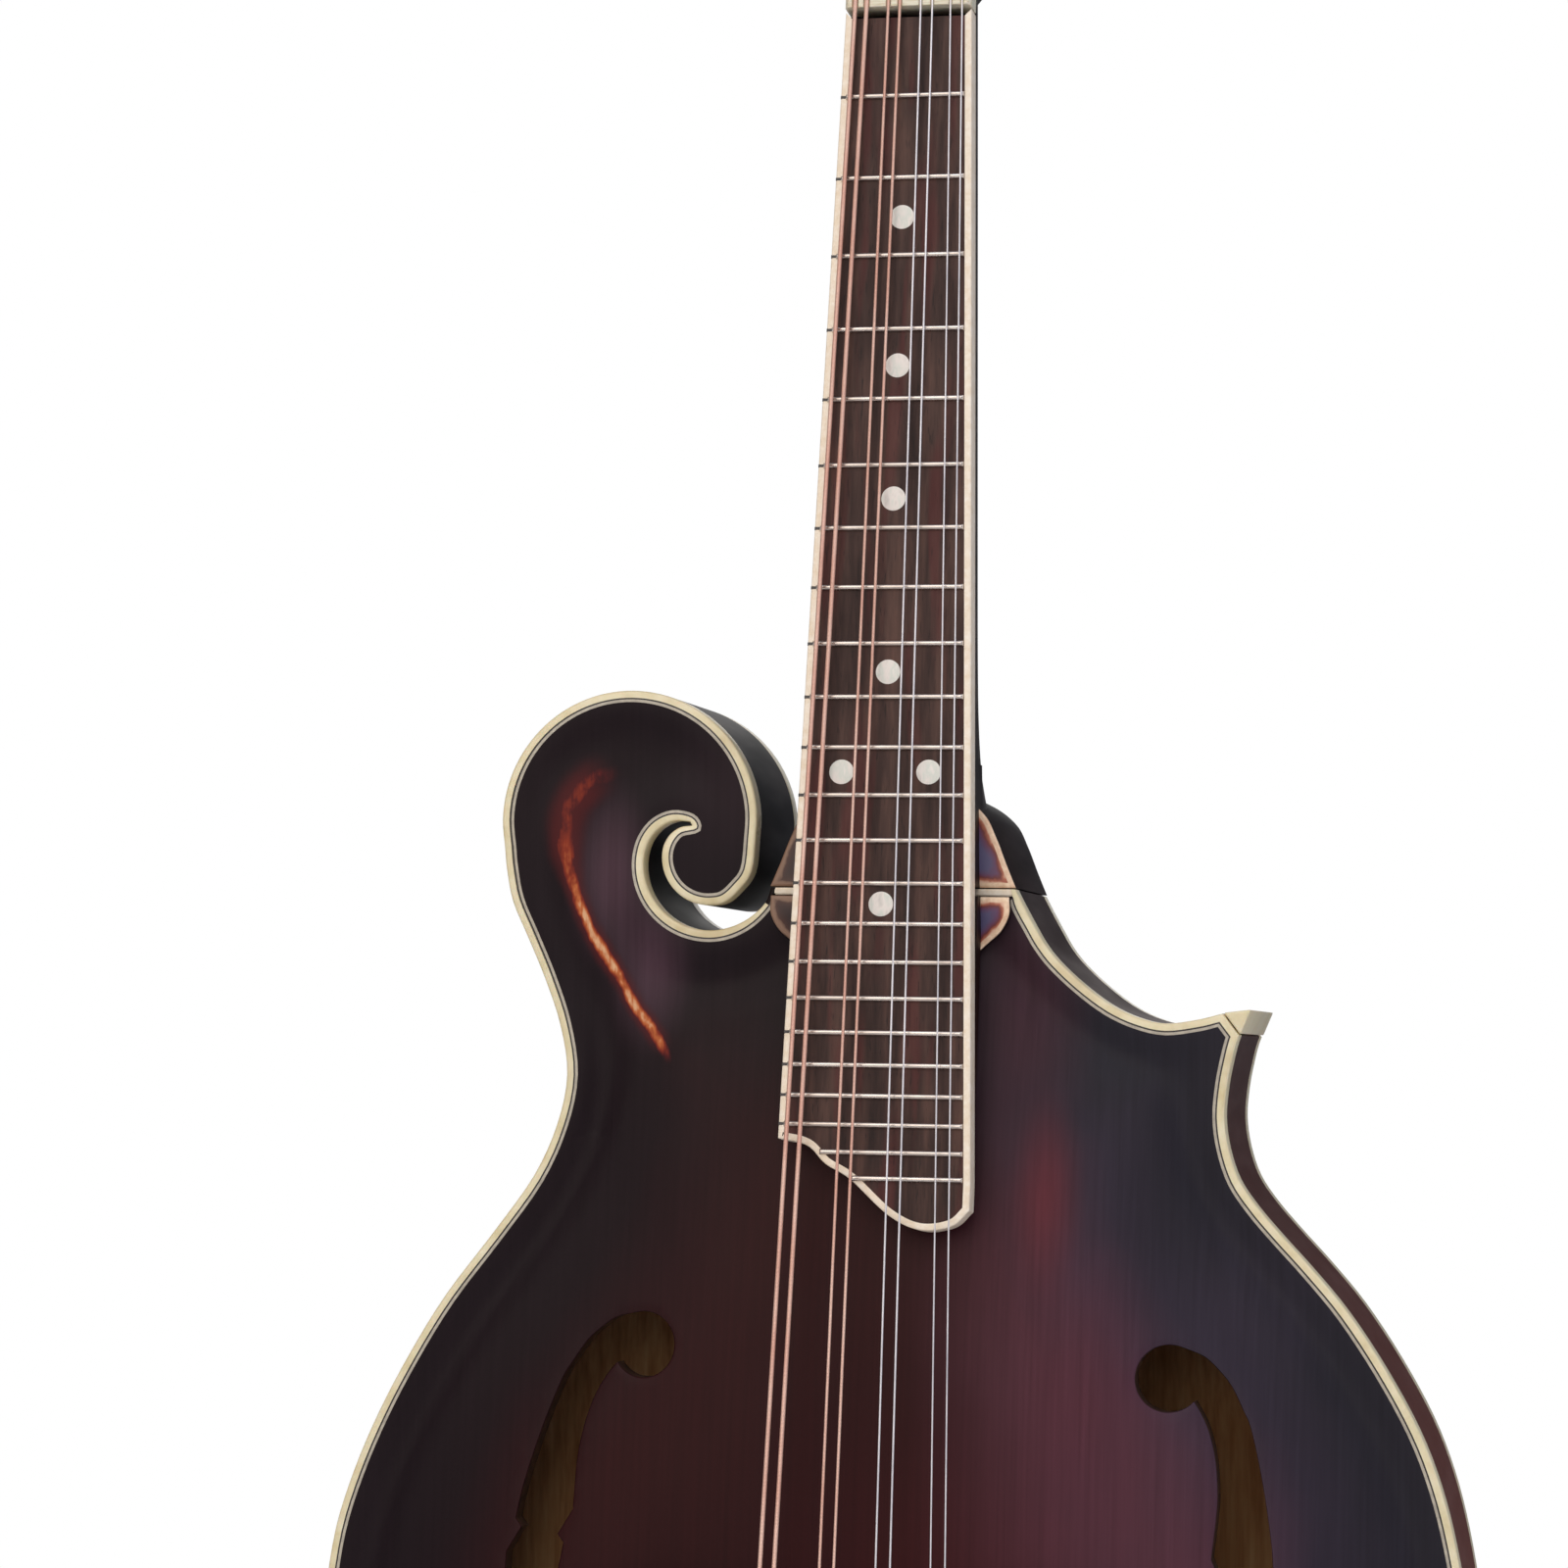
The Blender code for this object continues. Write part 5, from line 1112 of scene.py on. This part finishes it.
def build_string(index, name, radius, x_nut, x_bridge):
    """Loop on its hook, straight run over saddle, board and nut, then its turns round the post."""
    hook_x, lift = (index - 3.5) * HOOK_STEP, RIM_FRONT - tail_lift(HOOK_Z) - radius
    loop = [Vector((hook_x + LOOP_RADIUS * math.sin(a), lift - 0.0003,
                    HOOK_Z - 0.0009 - LOOP_RADIUS * math.cos(a)))
            for a in np.linspace(math.radians(30), math.radians(330), 13)]
    tail = [Vector((hook_x, lift - down, HOOK_Z + up)) for down, up in ((0.0005, 0.0032), (0.0008, 0.0055))]
    saddle = BOARD @ Vector((x_bridge, BEDDED - LIFT_BRIDGE, -SCALE))
    at_nut, past_nut = [BOARD @ Vector((x_nut, -LIFT_NUT, z)) for z in (0.0, NUT_THICK)]
    sign, (x, z) = POSTS[name][0], post_place(name)
    bend, climb = POST_RADIUS + radius + 0.00025, 2 * radius + 0.0006
    wrap = [HEAD @ Vector((x - sign * bend * math.cos(2 * math.pi * t), WRAP_Y + climb * t,
                           z + bend * math.sin(2 * math.pi * t)))
            for t in np.linspace(0, WRAP_TURNS, 45)]
    path = loop[:6] + smooth_run(loop[6:] + tail[:1], 2) + between(tail[1], saddle, 6)
    path += between(saddle, at_nut, 24) + [at_nut, past_nut] + between(past_nut, wrap[0], 6, 1) + wrap
    kept = [path[0]] + [b for a, b in zip(path, path[1:]) if (b - a).length > 5e-5]
    rings, runs = sweep(kept, radius, 12 if radius > 0.0003 else 10)
    crossing = min(range(len(kept)), key=lambda i: (kept[i] - saddle).length)
    for part, span, fixed in (("wire_" + name, slice(crossing, None), at_nut),
                              ("wire_tail_" + name, slice(0, crossing + 1), tail[1])):
        made = make_piece(part, skin(rings[span]), [BRONZE if name[0] in "gd" else STEEL], body=None,
                          crease=60, replaces=["string_" + name])
        store(made, "run_mm", sum(runs[span], []))
        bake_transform(made)


order = 0
for course, at_nut, at_bridge, radius in COURSES:
    for number, sign in ((1, -1), (2, 1)):
        build_string(order, course + str(number), radius, at_nut + sign * PAIR_AT_NUT / 2,
                     at_bridge + sign * PAIR_AT_BRIDGE / 2)
        order += 1


def softened(name, node, material, width, segments=2, body="root"):
    """A CAD node's shape with its edges eased: flat faces joined, then sharp edges rounded."""
    bm = bmesh.new()
    bm.from_mesh(NODES[node].data)
    bm.transform(NODES[node].matrix_world)
    bmesh.ops.remove_doubles(bm, verts=bm.verts, dist=2e-6)
    bmesh.ops.dissolve_limit(bm, angle_limit=math.radians(1.5), verts=bm.verts, edges=bm.edges)
    sharp = [e for e in bm.edges if len(e.link_faces) == 2 and e.calc_face_angle(0.0) > math.radians(32)]
    bmesh.ops.bevel(bm, geom=sharp, offset=width, offset_type="OFFSET", segments=segments, profile=0.5,
                    affect="EDGES", clamp_overlap=True)
    bmesh.ops.triangulate(bm, faces=[f for f in bm.faces if len(f.verts) > 4])
    mesh = bpy.data.meshes.new(name)
    bm.to_mesh(mesh)
    bm.free()
    dress(name, mesh, [material], body=body, crease=40, replaces=[node])


# The light strip across the neck joint
STRIP_ENDS = (-0.0262, 0.0268)


def build_strip():
    low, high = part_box("neck_joint_strip")
    ends = list(zip(low, high))
    ends[0] = STRIP_ENDS
    half = [(b - a) / 2 for a, b in ends]
    place = Matrix.Translation([(a + b) / 2 for a, b in ends])
    make_piece("joint_strip", box_unit(half), [BOARD_EDGE_CREAM], frame_of=place,
               replaces=["neck_joint_strip"])


# Neck, heel and the support under the board's end; plan heights count from the nut
NECK_STATIONS = [(-0.0053, 0.0135), (0.020, 0.0145), (0.060, 0.0155), (0.105, 0.0165), (0.138, 0.0178),
                 (0.152, 0.0200), (0.162, 0.0245), (0.169, 0.0315), (0.1735, 0.0400), (0.1765, 0.0470),
                 (0.1850, 0.0476)]
HEEL_DOME = [(0.0273, -0.1950), (0.0252, -0.1900), (0.0228, -0.1840), (0.0201, -0.1790), (0.0145, -0.1748),
             (0.0060, -0.1720)]
HEEL_FRONT, HEEL_TOP, HEEL_END = RIM_FRONT + 0.0006, -0.1680, -0.1950
CREAM_EDGE = 0.0011
TONGUE_END, LOBE_END, JOINT = -0.2480, -0.2088, HEEL_END - 2 * GAP - 0.0015
TONGUE_HALF = board_half(-TONGUE_END) - 0.0008


def board_plane(z, depth):
    """World y of the plane that lies a depth under the playing surface, at a height from the nut."""
    return NUT_Y + z * math.tan(NECK_ANGLE) + depth / math.cos(NECK_ANGLE)


def build_shaft():
    rings = []
    for down, depth in refine(NECK_STATIONS, 5):
        half, y, z = board_half(down), board_plane(-down, BOARD_THICK + GAP), NUT_Z - down
        rings.append([(half * u, y + depth * v, z) for u, v in dome(28, 0.7, 0.85)])
    make_piece("neck_shaft", skin(rings), [NECK_MAPLE], crease=45, replaces=["neck"])


def shouldered(name, loop, front, back, radius, grid, edge_gap, replaces, rim=None):
    """A flat-faced block with its varnish rubbed towards its rim: on the treble side worn pale along the rim,
    with painted purple-blue sheen in the middle; on the bass side a darker copy, painted shade.
    """
    def rim_gap(points):
        return distance(points, rim or loop, closed=rim is None)[0]

    def tone(middles):
        # Treble faces take the rubbed varnish with its painted sheen; bass faces take the darker copy, painted
        # shade.
        treble_side = middles[:, 0] > 0.0
        return np.where(treble_side & (rim_gap(middles) < CREAM_EDGE), 2, np.where(treble_side, 1, 3))

    drop = eased(loop, radius)
    rows = [inward(loop, radius * share) for share in (0.3, 0.7, 1.0)] + [inward(loop, CREAM_EDGE)]
    made, flat = plate(name, [loop], rows, clear_of(grid, [loop], edge_gap), lambda p: front(p) + drop(p), back,
                       [DARK_SHOULDER, RUBBED_WITH_SHEEN, WORN_RIM, SHADED_RUBBED], tone, crease=50, replaces=replaces)
    store(made, "rim_mm", np.tile(rim_gap(flat) * 1000, 2))


def build_heel():
    right = [(x, z + NUT_Z) for x, z in HEEL_DOME]
    loop = refine(right + [(-x, z) for x, z in right[::-1]], 6, closed=True, limit=60)
    grid = staggered((-0.027, NUT_Z + HEEL_END), (0.027, NUT_Z + HEEL_TOP), 0.0018)
    shouldered("heel", loop, level(HEEL_FRONT), level(RIM_BACK - 0.0002), 0.0006, grid, 0.0015, ["neck"])
    rings = []
    for z in (HEEL_TOP, HEEL_END):
        half, y = board_half(-z) - 0.0001, board_plane(z, BOARD_THICK + GAP)
        corners = (-half, y), (half, y), (half, RIM_FRONT + 0.006), (-half, RIM_FRONT + 0.006)
        rings.append([(x, depth, z + NUT_Z) for x, depth in corners])
    make_piece("heel_riser", skin(rings), [DARK_SHOULDER], replaces=["neck"])


def build_extension():
    """Tongue under the board's end, and a rounded lobe on each side of it."""
    def seat(points):
        return top_face(points) - 0.0005

    def lobe_front(points):
        return seat(points) - 0.0022

    def under_board(points):
        return board_plane(points[:, 1] - NUT_Z, BOARD_THICK + GAP)

    half, top, end = TONGUE_HALF, NUT_Z + JOINT, NUT_Z + TONGUE_END
    grid = staggered((-half + 0.002, end + 0.002), (half - 0.002, top - 0.002), 0.004)
    tongue = [(half, top), (half, end), (-half, end), (-half, top)]
    plate("extension_tongue", [tongue], [], grid, under_board, seat, [DARK_SHOULDER],
          replaces=["extension_riser"])
    lobe = [(half - 0.0003, JOINT), (0.0264, JOINT), (0.0264, -0.2010), (0.0246, -0.2045), (0.0218, -0.2070),
            (half - 0.0003, LOBE_END)]
    for name, sign in (("treble", 1), ("bass", -1)):
        loop = refine([(sign * x, z + NUT_Z) for x, z in lobe], 5, closed=True, limit=55)
        grid = staggered(np.min(loop, axis=0), np.max(loop, axis=0), 0.0012)
        shouldered("extension_lobe_" + name, loop, lobe_front, seat, 0.0005, grid, 0.0013, ["extension_riser"],
                   rim=loop[:-4])


# Headstock: its right side, crown and left side, in its own frame
HEAD_RIGHT = [(0.0142, 0.0), (0.0152, 0.003), (0.0180, 0.014), (0.0262, 0.0235), (0.0318, 0.034),
              (0.0312, 0.052), (0.0295, 0.078), (0.0292, 0.104), (0.0312, 0.120), (0.0365, 0.131)]
HEAD_CROWN = [(0.0280, 0.1345), (0.0190, 0.1335), (0.0110, 0.1400), (0.0030, 0.1520), (-0.0090, 0.1615),
              (-0.0220, 0.1625), (-0.0325, 0.1560), (-0.0362, 0.1450), (-0.0330, 0.1350)]
HEAD_LEFT = [(-0.0285, 0.1270), (-0.0288, 0.104)] + [(-x, z) for x, z in HEAD_RIGHT[6::-1]]
HEAD_CORNERS = (0, 9, 18)
HEAD_EASE, VENEER_EASE = 0.0010, 0.0004
POST_HOLE = 0.0034
WINDOW = [(-0.0035, 0.003), (0.0035, 0.003), (0.0035, 0.0175), (-0.0035, 0.0175)]
NARROW_TO = 0.016


def narrowed(x, y, z):
    """The headstock's lower end, brought in towards its back."""
    low, deep = max(0.0, 1 - z / NARROW_TO), max(0.0, y / HEAD_THICK)
    return x * (1 - 0.5 * low ** 1.5 * deep ** 2), y, z


def build_head():
    points = HEAD_RIGHT + HEAD_CROWN + HEAD_LEFT
    ends = HEAD_CORNERS + (len(points) - 1,)
    outline = refine(points, 4, corners=[k in ends for k in range(len(points))])
    holes = [circle(POST_HOLE, 20, x, z) for x, z in map(post_place, POSTS)]
    drop, ease = eased(outline, HEAD_EASE), eased(outline, VENEER_EASE)
    rows = [inward(outline, HEAD_EASE * share) for share in (0.3, 0.7, 1.0)]
    plate("headstock", [outline] + holes, rows, [], level(0.0), lambda p: HEAD_THICK - drop(p), [NECK_MAPLE],
          bend=narrowed, frame_of=HEAD, crease=45, replaces=["neck"])
    face = [(x, max(z, 3 * GAP)) for x, z in outline]
    plate("head_veneer", [face] + holes + [WINDOW], [inward(face, VENEER_EASE)], [],
          lambda p: -GAP - VENEER_THICK + ease(p), level(-GAP), [VENEER], frame_of=HEAD, crease=45,
          replaces=["head_overlay"])


def screws(name, spots, radius, height, flip=False):
    """Domed screws on the headstock, each slot a thin dark bar on the dome, painted shade in place of a cut;
    flip for a face that looks along +y.
    """
    head = [(-height * along, radius * share)
            for along, share in ((0, 1.0), (0.45, 0.97), (0.8, 0.75), (1, 0.35))]
    verts, faces = box_unit((radius * 0.82, height * 0.06, radius * 0.11))
    # The slot: a thin dark bar on the dome's top, painted shade where a cut would be.
    slot = [(x, y - height * 0.98, z) for x, y, z in verts], faces
    turns = [(place, (math.pi if flip else 0.0, 0.6 * k, 0.0), FULL_SIZE) for k, place in enumerate(spots)]
    repeat(name + "_heads", turns, skin(turned(head, 20, "Y")), NICKEL, HEAD)
    repeat(name + "_slots", turns, slot, DARK_LINE, HEAD)


# Tuners, in the headstock's frame
GEAR_TEETH, GEAR_PITCH, GEAR_TOOTH, GEAR_WIDTH = 14, 0.0052, 0.0006, 0.0026
GEAR_BACK = 0.0182
WORM_CENTRES, WORM_RADIUS, WORM_CREST, WORM_TURNS, WORM_STEPS = 0.0081, 0.0023, 0.0006, 3, 12
SHAFT_INNER, SHAFT_OUTER, SHAFT_RADIUS, SHAFT_STEP = 0.0070, 0.0195, 0.0015, 0.0004
BUTTON_LENGTH, BUTTON_DEEP, BUTTON_WIDE = 0.017, 0.0042, 0.0070
BUTTON_SHAPE = ((0.0, 0.30), (0.015, 0.42), (0.06, 0.62), (0.15, 0.80), (0.28, 0.92), (0.5, 1.0), (0.7, 0.94),
                (0.85, 0.79), (0.94, 0.60), (0.985, 0.42), (1.0, 0.24))
POST_SHAPE = ((0, 0.0016), (0.0003, 0.0023), (0.0010, POST_RADIUS), (0.0024, POST_RADIUS), (0.0034, 0.00275),
              (0.0064, 0.00275), (0.0074, POST_RADIUS))


def build_post(name, x, z):
    """Post with a rounded and grooved top, its gear wheel, and the gear's screw."""
    front, back = GEAR_BACK - GEAR_WIDTH / 2, GEAR_BACK + GEAR_WIDTH / 2
    post = [(along - POST_REACH, radius) for along, radius in POST_SHAPE] + [(front, POST_RADIUS)]
    ring = []
    for k, a in enumerate(angles(GEAR_TEETH * 8)):
        wave = math.cos(2 * math.pi * k / 8)
        r = GEAR_PITCH + GEAR_TOOTH * max(-1.0, min(1.0, wave * 1.15))
        ring.append((r * math.sin(a), -r * math.cos(a)))
    ease = ((front - 0.0002, 0.965), (front + 0.0001, 1.0), (back - 0.0003, 1.0), (back, 0.965))
    gear = [[(a * s, y, b * s) for a, b in ring] for y, s in ease]
    screw = [(back - 0.0004, 0.0026), (back + 0.0007, 0.0026), (back + 0.0012, 0.0020)]
    parts = [skin(turned(post, 28, "Y")), skin(gear), skin(turned(screw, 20, "Y"))]
    slots = [slot for slot, part in zip((0, 1, 0), parts) for _ in part[1]]
    place = HEAD @ Matrix.Translation((x, 0, z))
    make_piece("post_" + name, join(parts), [NICKEL, GEAR_BRASS], slots, place, "post_" + name,
               replaces=["tuner_post_" + name])


def build_button(name, sign, x, z):
    """Worm and shaft in steel, and a moulded pearl button."""
    lead = 2 * math.pi * GEAR_PITCH / GEAR_TEETH
    half = WORM_TURNS * lead / 2
    segments = 20
    shaft = turned([(-sign * SHAFT_INNER, 0.0011), (sign * (SHAFT_STEP - SHAFT_INNER), SHAFT_RADIUS),
                    (-sign * (half + SHAFT_STEP), SHAFT_RADIUS)], segments, "X")
    steps = WORM_TURNS * WORM_STEPS
    for step in range(steps + 1):
        along = sign * half * (2 * step / steps - 1)
        ring = []
        for turn in angles(segments):
            r = WORM_RADIUS + WORM_CREST * math.cos(2 * math.pi * (along - lead / 4) / lead - turn)
            ring.append((along, r * math.cos(turn), r * math.sin(turn)))
        shaft.append(ring)
    shaft += turned([(sign * (end + SHAFT_STEP), SHAFT_RADIUS) for end in (half, SHAFT_OUTER)], segments, "X")
    button = []
    for share, wide in BUTTON_SHAPE:
        along, rounds = sign * (SHAFT_OUTER + BUTTON_LENGTH * share), circle(1.0, segments * 2)
        button.append([(along, BUTTON_DEEP * wide * math.copysign(abs(c) ** 0.85, c),
                        BUTTON_WIDE * wide * math.copysign(abs(s) ** 0.85, s)) for c, s in rounds])
    parts = [skin(shaft), skin(button)]
    slots = [slot for slot, part in enumerate(parts) for _ in part[1]]
    place = HEAD @ Matrix.Translation((x, GEAR_BACK, z))
    make_piece("button_" + name, join(parts), [STEEL, BUTTON_PEARL], slots, place, "button_" + name,
               replaces=["tuner_button_" + name])


softened("bone_nut", "nut", BONE, 0.00012)
build_strip()
softened("upper_point", "upper_point_cap", IVOROID, 0.0005, 3)
softened("lower_point", "lower_point_cap", IVOROID, 0.0005, 3)
build_shaft()
build_heel()
build_extension()
build_head()
softened("truss_cover", "truss_rod_cover", VENEER, 0.0003)
for side in ("bass", "treble"):
    softened("tuner_strip_" + side, "tuner_plate_" + side, NICKEL, 0.00025)
for string in POSTS:
    x, z = post_place(string)
    build_post(string, x, z)
    build_button(string, POSTS[string][0], x, z - WORM_CENTRES)
STRIP_ROWS = [POST_FIRST - WORM_CENTRES - 0.0035, POST_FIRST + 3 * POST_STEP + 0.0062]
STRIP_ROWS += [POST_FIRST + row * POST_STEP + 0.0078 for row in range(3)]
STRIP_X, STRIP_FACE, COVER_FACE = POST_X + 0.0055, HEAD_THICK + GAP + 0.001, -2 * GAP - 0.0032
COVER_SPOTS = ((0.0, 0.0258), (-0.0055, 0.0035), (0.0055, 0.0035))
STRIP_SPOTS = [(sign * STRIP_X, STRIP_FACE, z) for sign in (-1, 1) for z in STRIP_ROWS]
screws("strip_screws", STRIP_SPOTS, 0.0015, 0.0007, flip=True)
screws("cover_screws", [(x, COVER_FACE, z) for x, z in COVER_SPOTS], 0.0011, 0.0006)


# Bridge: foot, wheels, studs and saddle
BRIDGE_Z = NUT_Z - SCALE * math.cos(NECK_ANGLE)
FOOT_X, FOOT_HALF, FOOT_EASE, FOOT_STEP = 0.057, 0.0095 / 2, 0.0009, 0.0015
BASE_TOP, STUD_X, STUD_RADIUS, STUD_TOP, STUD_TURNS, STUD_GROOVE = 0.0203, 0.030, 0.0016, 0.0264, 14, 0.00009
WHEEL_RADIUS, WHEEL_HOLE, WHEEL_THICK = 0.006, STUD_RADIUS + 0.0004, 0.0024
WHEEL_TEETH, WHEEL_EASE = 44, 0.0004
KNURL = (0, 0.000165, 0.00022, 0.000165)


def build_bridge():
    low, high = BRIDGE_Z - FOOT_HALF, BRIDGE_Z + FOOT_HALF
    edge = []
    for a, b in sides_of([(-FOOT_X, low), (FOOT_X, low), (FOOT_X, high), (-FOOT_X, high)]):
        count = max(2, round(math.dist(a, b) / FOOT_STEP))
        edge += [(a[0] + (b[0] - a[0]) * k / count, a[1] + (b[1] - a[1]) * k / count) for k in range(count)]
    ease = eased(edge, FOOT_EASE)

    def top(points):
        drop = np.clip((np.abs(points[:, 0]) - 0.038) / 0.019, 0, 1)
        return RIM_FRONT - BASE_TOP + 0.0028 * drop ** 2 + ease(points)

    def foot(points):
        lifted = 1 - np.clip((np.abs(points[:, 0]) - 0.0225) / 0.0035, 0, 1)
        return top_face(points) - GAP - 0.0022 * lifted * lifted * (3 - 2 * lifted)

    spots = staggered((-FOOT_X + 0.0015, low + 0.00155), (FOOT_X - 0.0015, high - 0.00155), 0.0016)
    plate("bridge_foot", [edge], [inward(edge, gap) for gap in (0.00025, FOOT_EASE)], spots, top, foot,
          [BRIDGE_WOOD], crease=45, replaces=["bridge_base"])
    softened("bridge_top", "bridge_saddle", BRIDGE_WOOD, 0.00022, body="saddle")


def build_wheel(side, sign):
    """A thumbwheel with a straight knurl and eased faces, and its threaded stud."""
    back = -BASE_TOP - GAP
    front, rim, hole = back - WHEEL_THICK, WHEEL_RADIUS, WHEEL_HOLE
    rings = []
    for y, radius in ((back, hole), (back, rim - 0.0006), (back - WHEEL_EASE, rim), (front + WHEEL_EASE, rim),
                      (front, rim - 0.0006), (front, hole)):
        ring = []
        for k, a in enumerate(angles(WHEEL_TEETH * 4)):
            r = radius - KNURL[k % 4] if radius == rim else radius
            ring.append((r * math.cos(a), y, r * math.sin(a)))
        rings.append(ring)
    place = Matrix.Translation((sign * STUD_X, RIM_FRONT, BRIDGE_Z))
    make_piece("wheel_" + side, skin(rings, looped=True), [NICKEL], None, place, "wheel_" + side, 40,
               ["thumbwheel_" + side])
    rings = []
    low, steps = -BASE_TOP - 0.0002, STUD_TURNS * 6
    for step in range(steps + 1):
        y = low - (STUD_TOP + low) * step / steps
        ring = []
        for a in angles(16):
            r = STUD_RADIUS - STUD_GROOVE * (1 + math.cos(2 * math.pi * step / 6 - a))
            ring.append((r * math.cos(a), y, r * math.sin(a)))
        rings.append(ring)
    make_piece("stud_" + side, skin(rings), [STEEL], frame_of=place, crease=50,
               replaces=["bridge_stud_" + side])


# Tailpiece and end pin
COVER_Z, COVER_LENGTH, COVER_HALF, COVER_TALL, COVER_METAL = TAIL_Z + 0.019, 0.066, 0.0205, 0.0072, 0.0011
COVER_SHARES = (0.0, 0.004, 0.012, 0.1, 0.2, 0.3, 0.4, 0.5, 0.6, 0.7, 0.8, 0.9, 0.988, 0.996, 1.0)
COVER_ROLL = {0.0: 0.00035, 0.004: 0.0001, 0.996: 0.0001, 1.0: 0.00035}
PIN_SEAT = -GAP * 2 - 0.0012
PIN_SHAPE = [(0.018, 0.0024), (0.0176, 0.0032), (PIN_SEAT, 0.0032), (PIN_SEAT, 0.0060),
             (PIN_SEAT - 0.0004, 0.0065), (-0.0041, 0.0065), (-0.0047, 0.0061), (-0.0075, 0.0044),
             (-0.0095, 0.0041), (-0.0113, 0.0043),
             (-0.0136, 0.0060), (-0.0142, 0.0065), (-0.0166, 0.0065), (-0.0174, 0.0062), (-0.018, 0.0053)]


def build_cover():
    """Arched sliding cover with rolled ends; it grips the base's edges."""
    def arch(z, narrower):
        half, tall, y = COVER_HALF - narrower, COVER_TALL - narrower, RIM_FRONT - tail_lift(z) + 0.0008
        return [(half * u, y - tall * v, z) for u, v in dome(32, 0.6, 0.75)]

    rings = []
    for share in COVER_SHARES:
        z, roll = COVER_Z + COVER_LENGTH * share, COVER_ROLL.get(share, 0.0)
        rings.append(arch(z, roll) + arch(z, COVER_METAL - roll)[::-1])
    make_piece("sliding_cover", skin(rings), [NICKEL], body="cover", crease=40, replaces=["tailpiece_cover"])


build_bridge()
for side, sign in (("bass", -1), ("treble", 1)):
    build_wheel(side, sign)
softened("tail_plate", "tailpiece_base", NICKEL, 0.00018)
build_cover()
make_piece("strap_pin", skin(turned(PIN_SHAPE, 40, "Z")), [PIN_EBONY],
           frame_of=Matrix.Translation((0, 0, TAIL_Z)), crease=50, replaces=["end_pin"])

# Inner woodwork and the rod keep their CAD shape
INNER_WOOD = ["head_block", "tail_block", "tone_bar_bass", "tone_bar_treble"]
INNER_WOOD += [side + "_lining_" + half for side in ("top", "back") for half in ("bass", "treble")]
for part, material in [(part, RAW) for part in INNER_WOOD] + [("truss_rod", STEEL)]:
    for holder in NODES[part].material_slots:
        holder.material = material


# Camera, light and floor
MIDDLE = (0.0, 0.0, 0.26)
LIGHTS = (("key", (-0.45, -1.7, 1.15), (2.2, 1.9), 24, "#fff6ea"),
          ("sky", (0.5, -0.7, 1.9), (2.4, 2.0), 13, "#eaf0ff"),
          ("side", (1.7, -0.5, 0.6), (1.4, 1.8), 8, "#f4f6ff"),
          ("rear", (-0.7, 1.8, 1.1), (1.8, 1.6), 9, "#f6f4f0"))
CAMERA_PLACE = (0.19136, -1.02201, 0.27939)
CAMERA_AXES = ((0.97757, 0.21005, 0.01558), (-0.00289, -0.0606, 0.99816), (0.21061, -0.97581, -0.05863))
FLOOR_RADIUS = 1.25


def build_studio():
    scene = bpy.context.scene
    data = bpy.data.cameras.new("view")
    data.lens, data.sensor_width = 107.078, 36.0
    data.clip_start, data.clip_end = 0.02, 20.0
    scene.camera = linked("view", data)
    scene.camera.matrix_world = Matrix.Translation(CAMERA_PLACE) @ Matrix(CAMERA_AXES).transposed().to_4x4()

    for name, place, size, power, colour in LIGHTS:
        data = bpy.data.lights.new(name, "AREA")
        data.shape = "RECTANGLE"
        data.size, data.size_y = size
        data.energy, data.color = power, linear(colour)[:3]
        made = linked(name, data)
        made.location = place
        made.rotation_euler = (Vector(MIDDLE) - Vector(place)).to_track_quat("-Z", "Y").to_euler()

    scene.world = bpy.data.worlds.new("studio")
    scene.world.use_nodes = True
    tree = scene.world.node_tree
    seen = Value(add(tree, "ShaderNodeLightPath").outputs["Is Camera Ray"])
    feed(tree.nodes["Background"].inputs["Color"], mix(seen, (0.15, 0.153, 0.17, 1), (1, 1, 1, 1)))

    ring = [(x, y, 0.0) for x, y in circle(FLOOR_RADIUS, 96)]
    mesh = bpy.data.meshes.new("floor")
    mesh.from_pydata(ring, [], [tuple(range(len(ring)))])
    paint = Paint("pale_paper", 0.85)
    paint.set(Base_Color=ramp_of(paint.noise((3, 3, 3)), (0.3, "#f4f4f4"), (0.7, "#fafafa")))
    mesh.materials.append(paint.material)
    linked("floor", mesh)
    scene.view_settings.view_transform = "Standard"


build_studio()
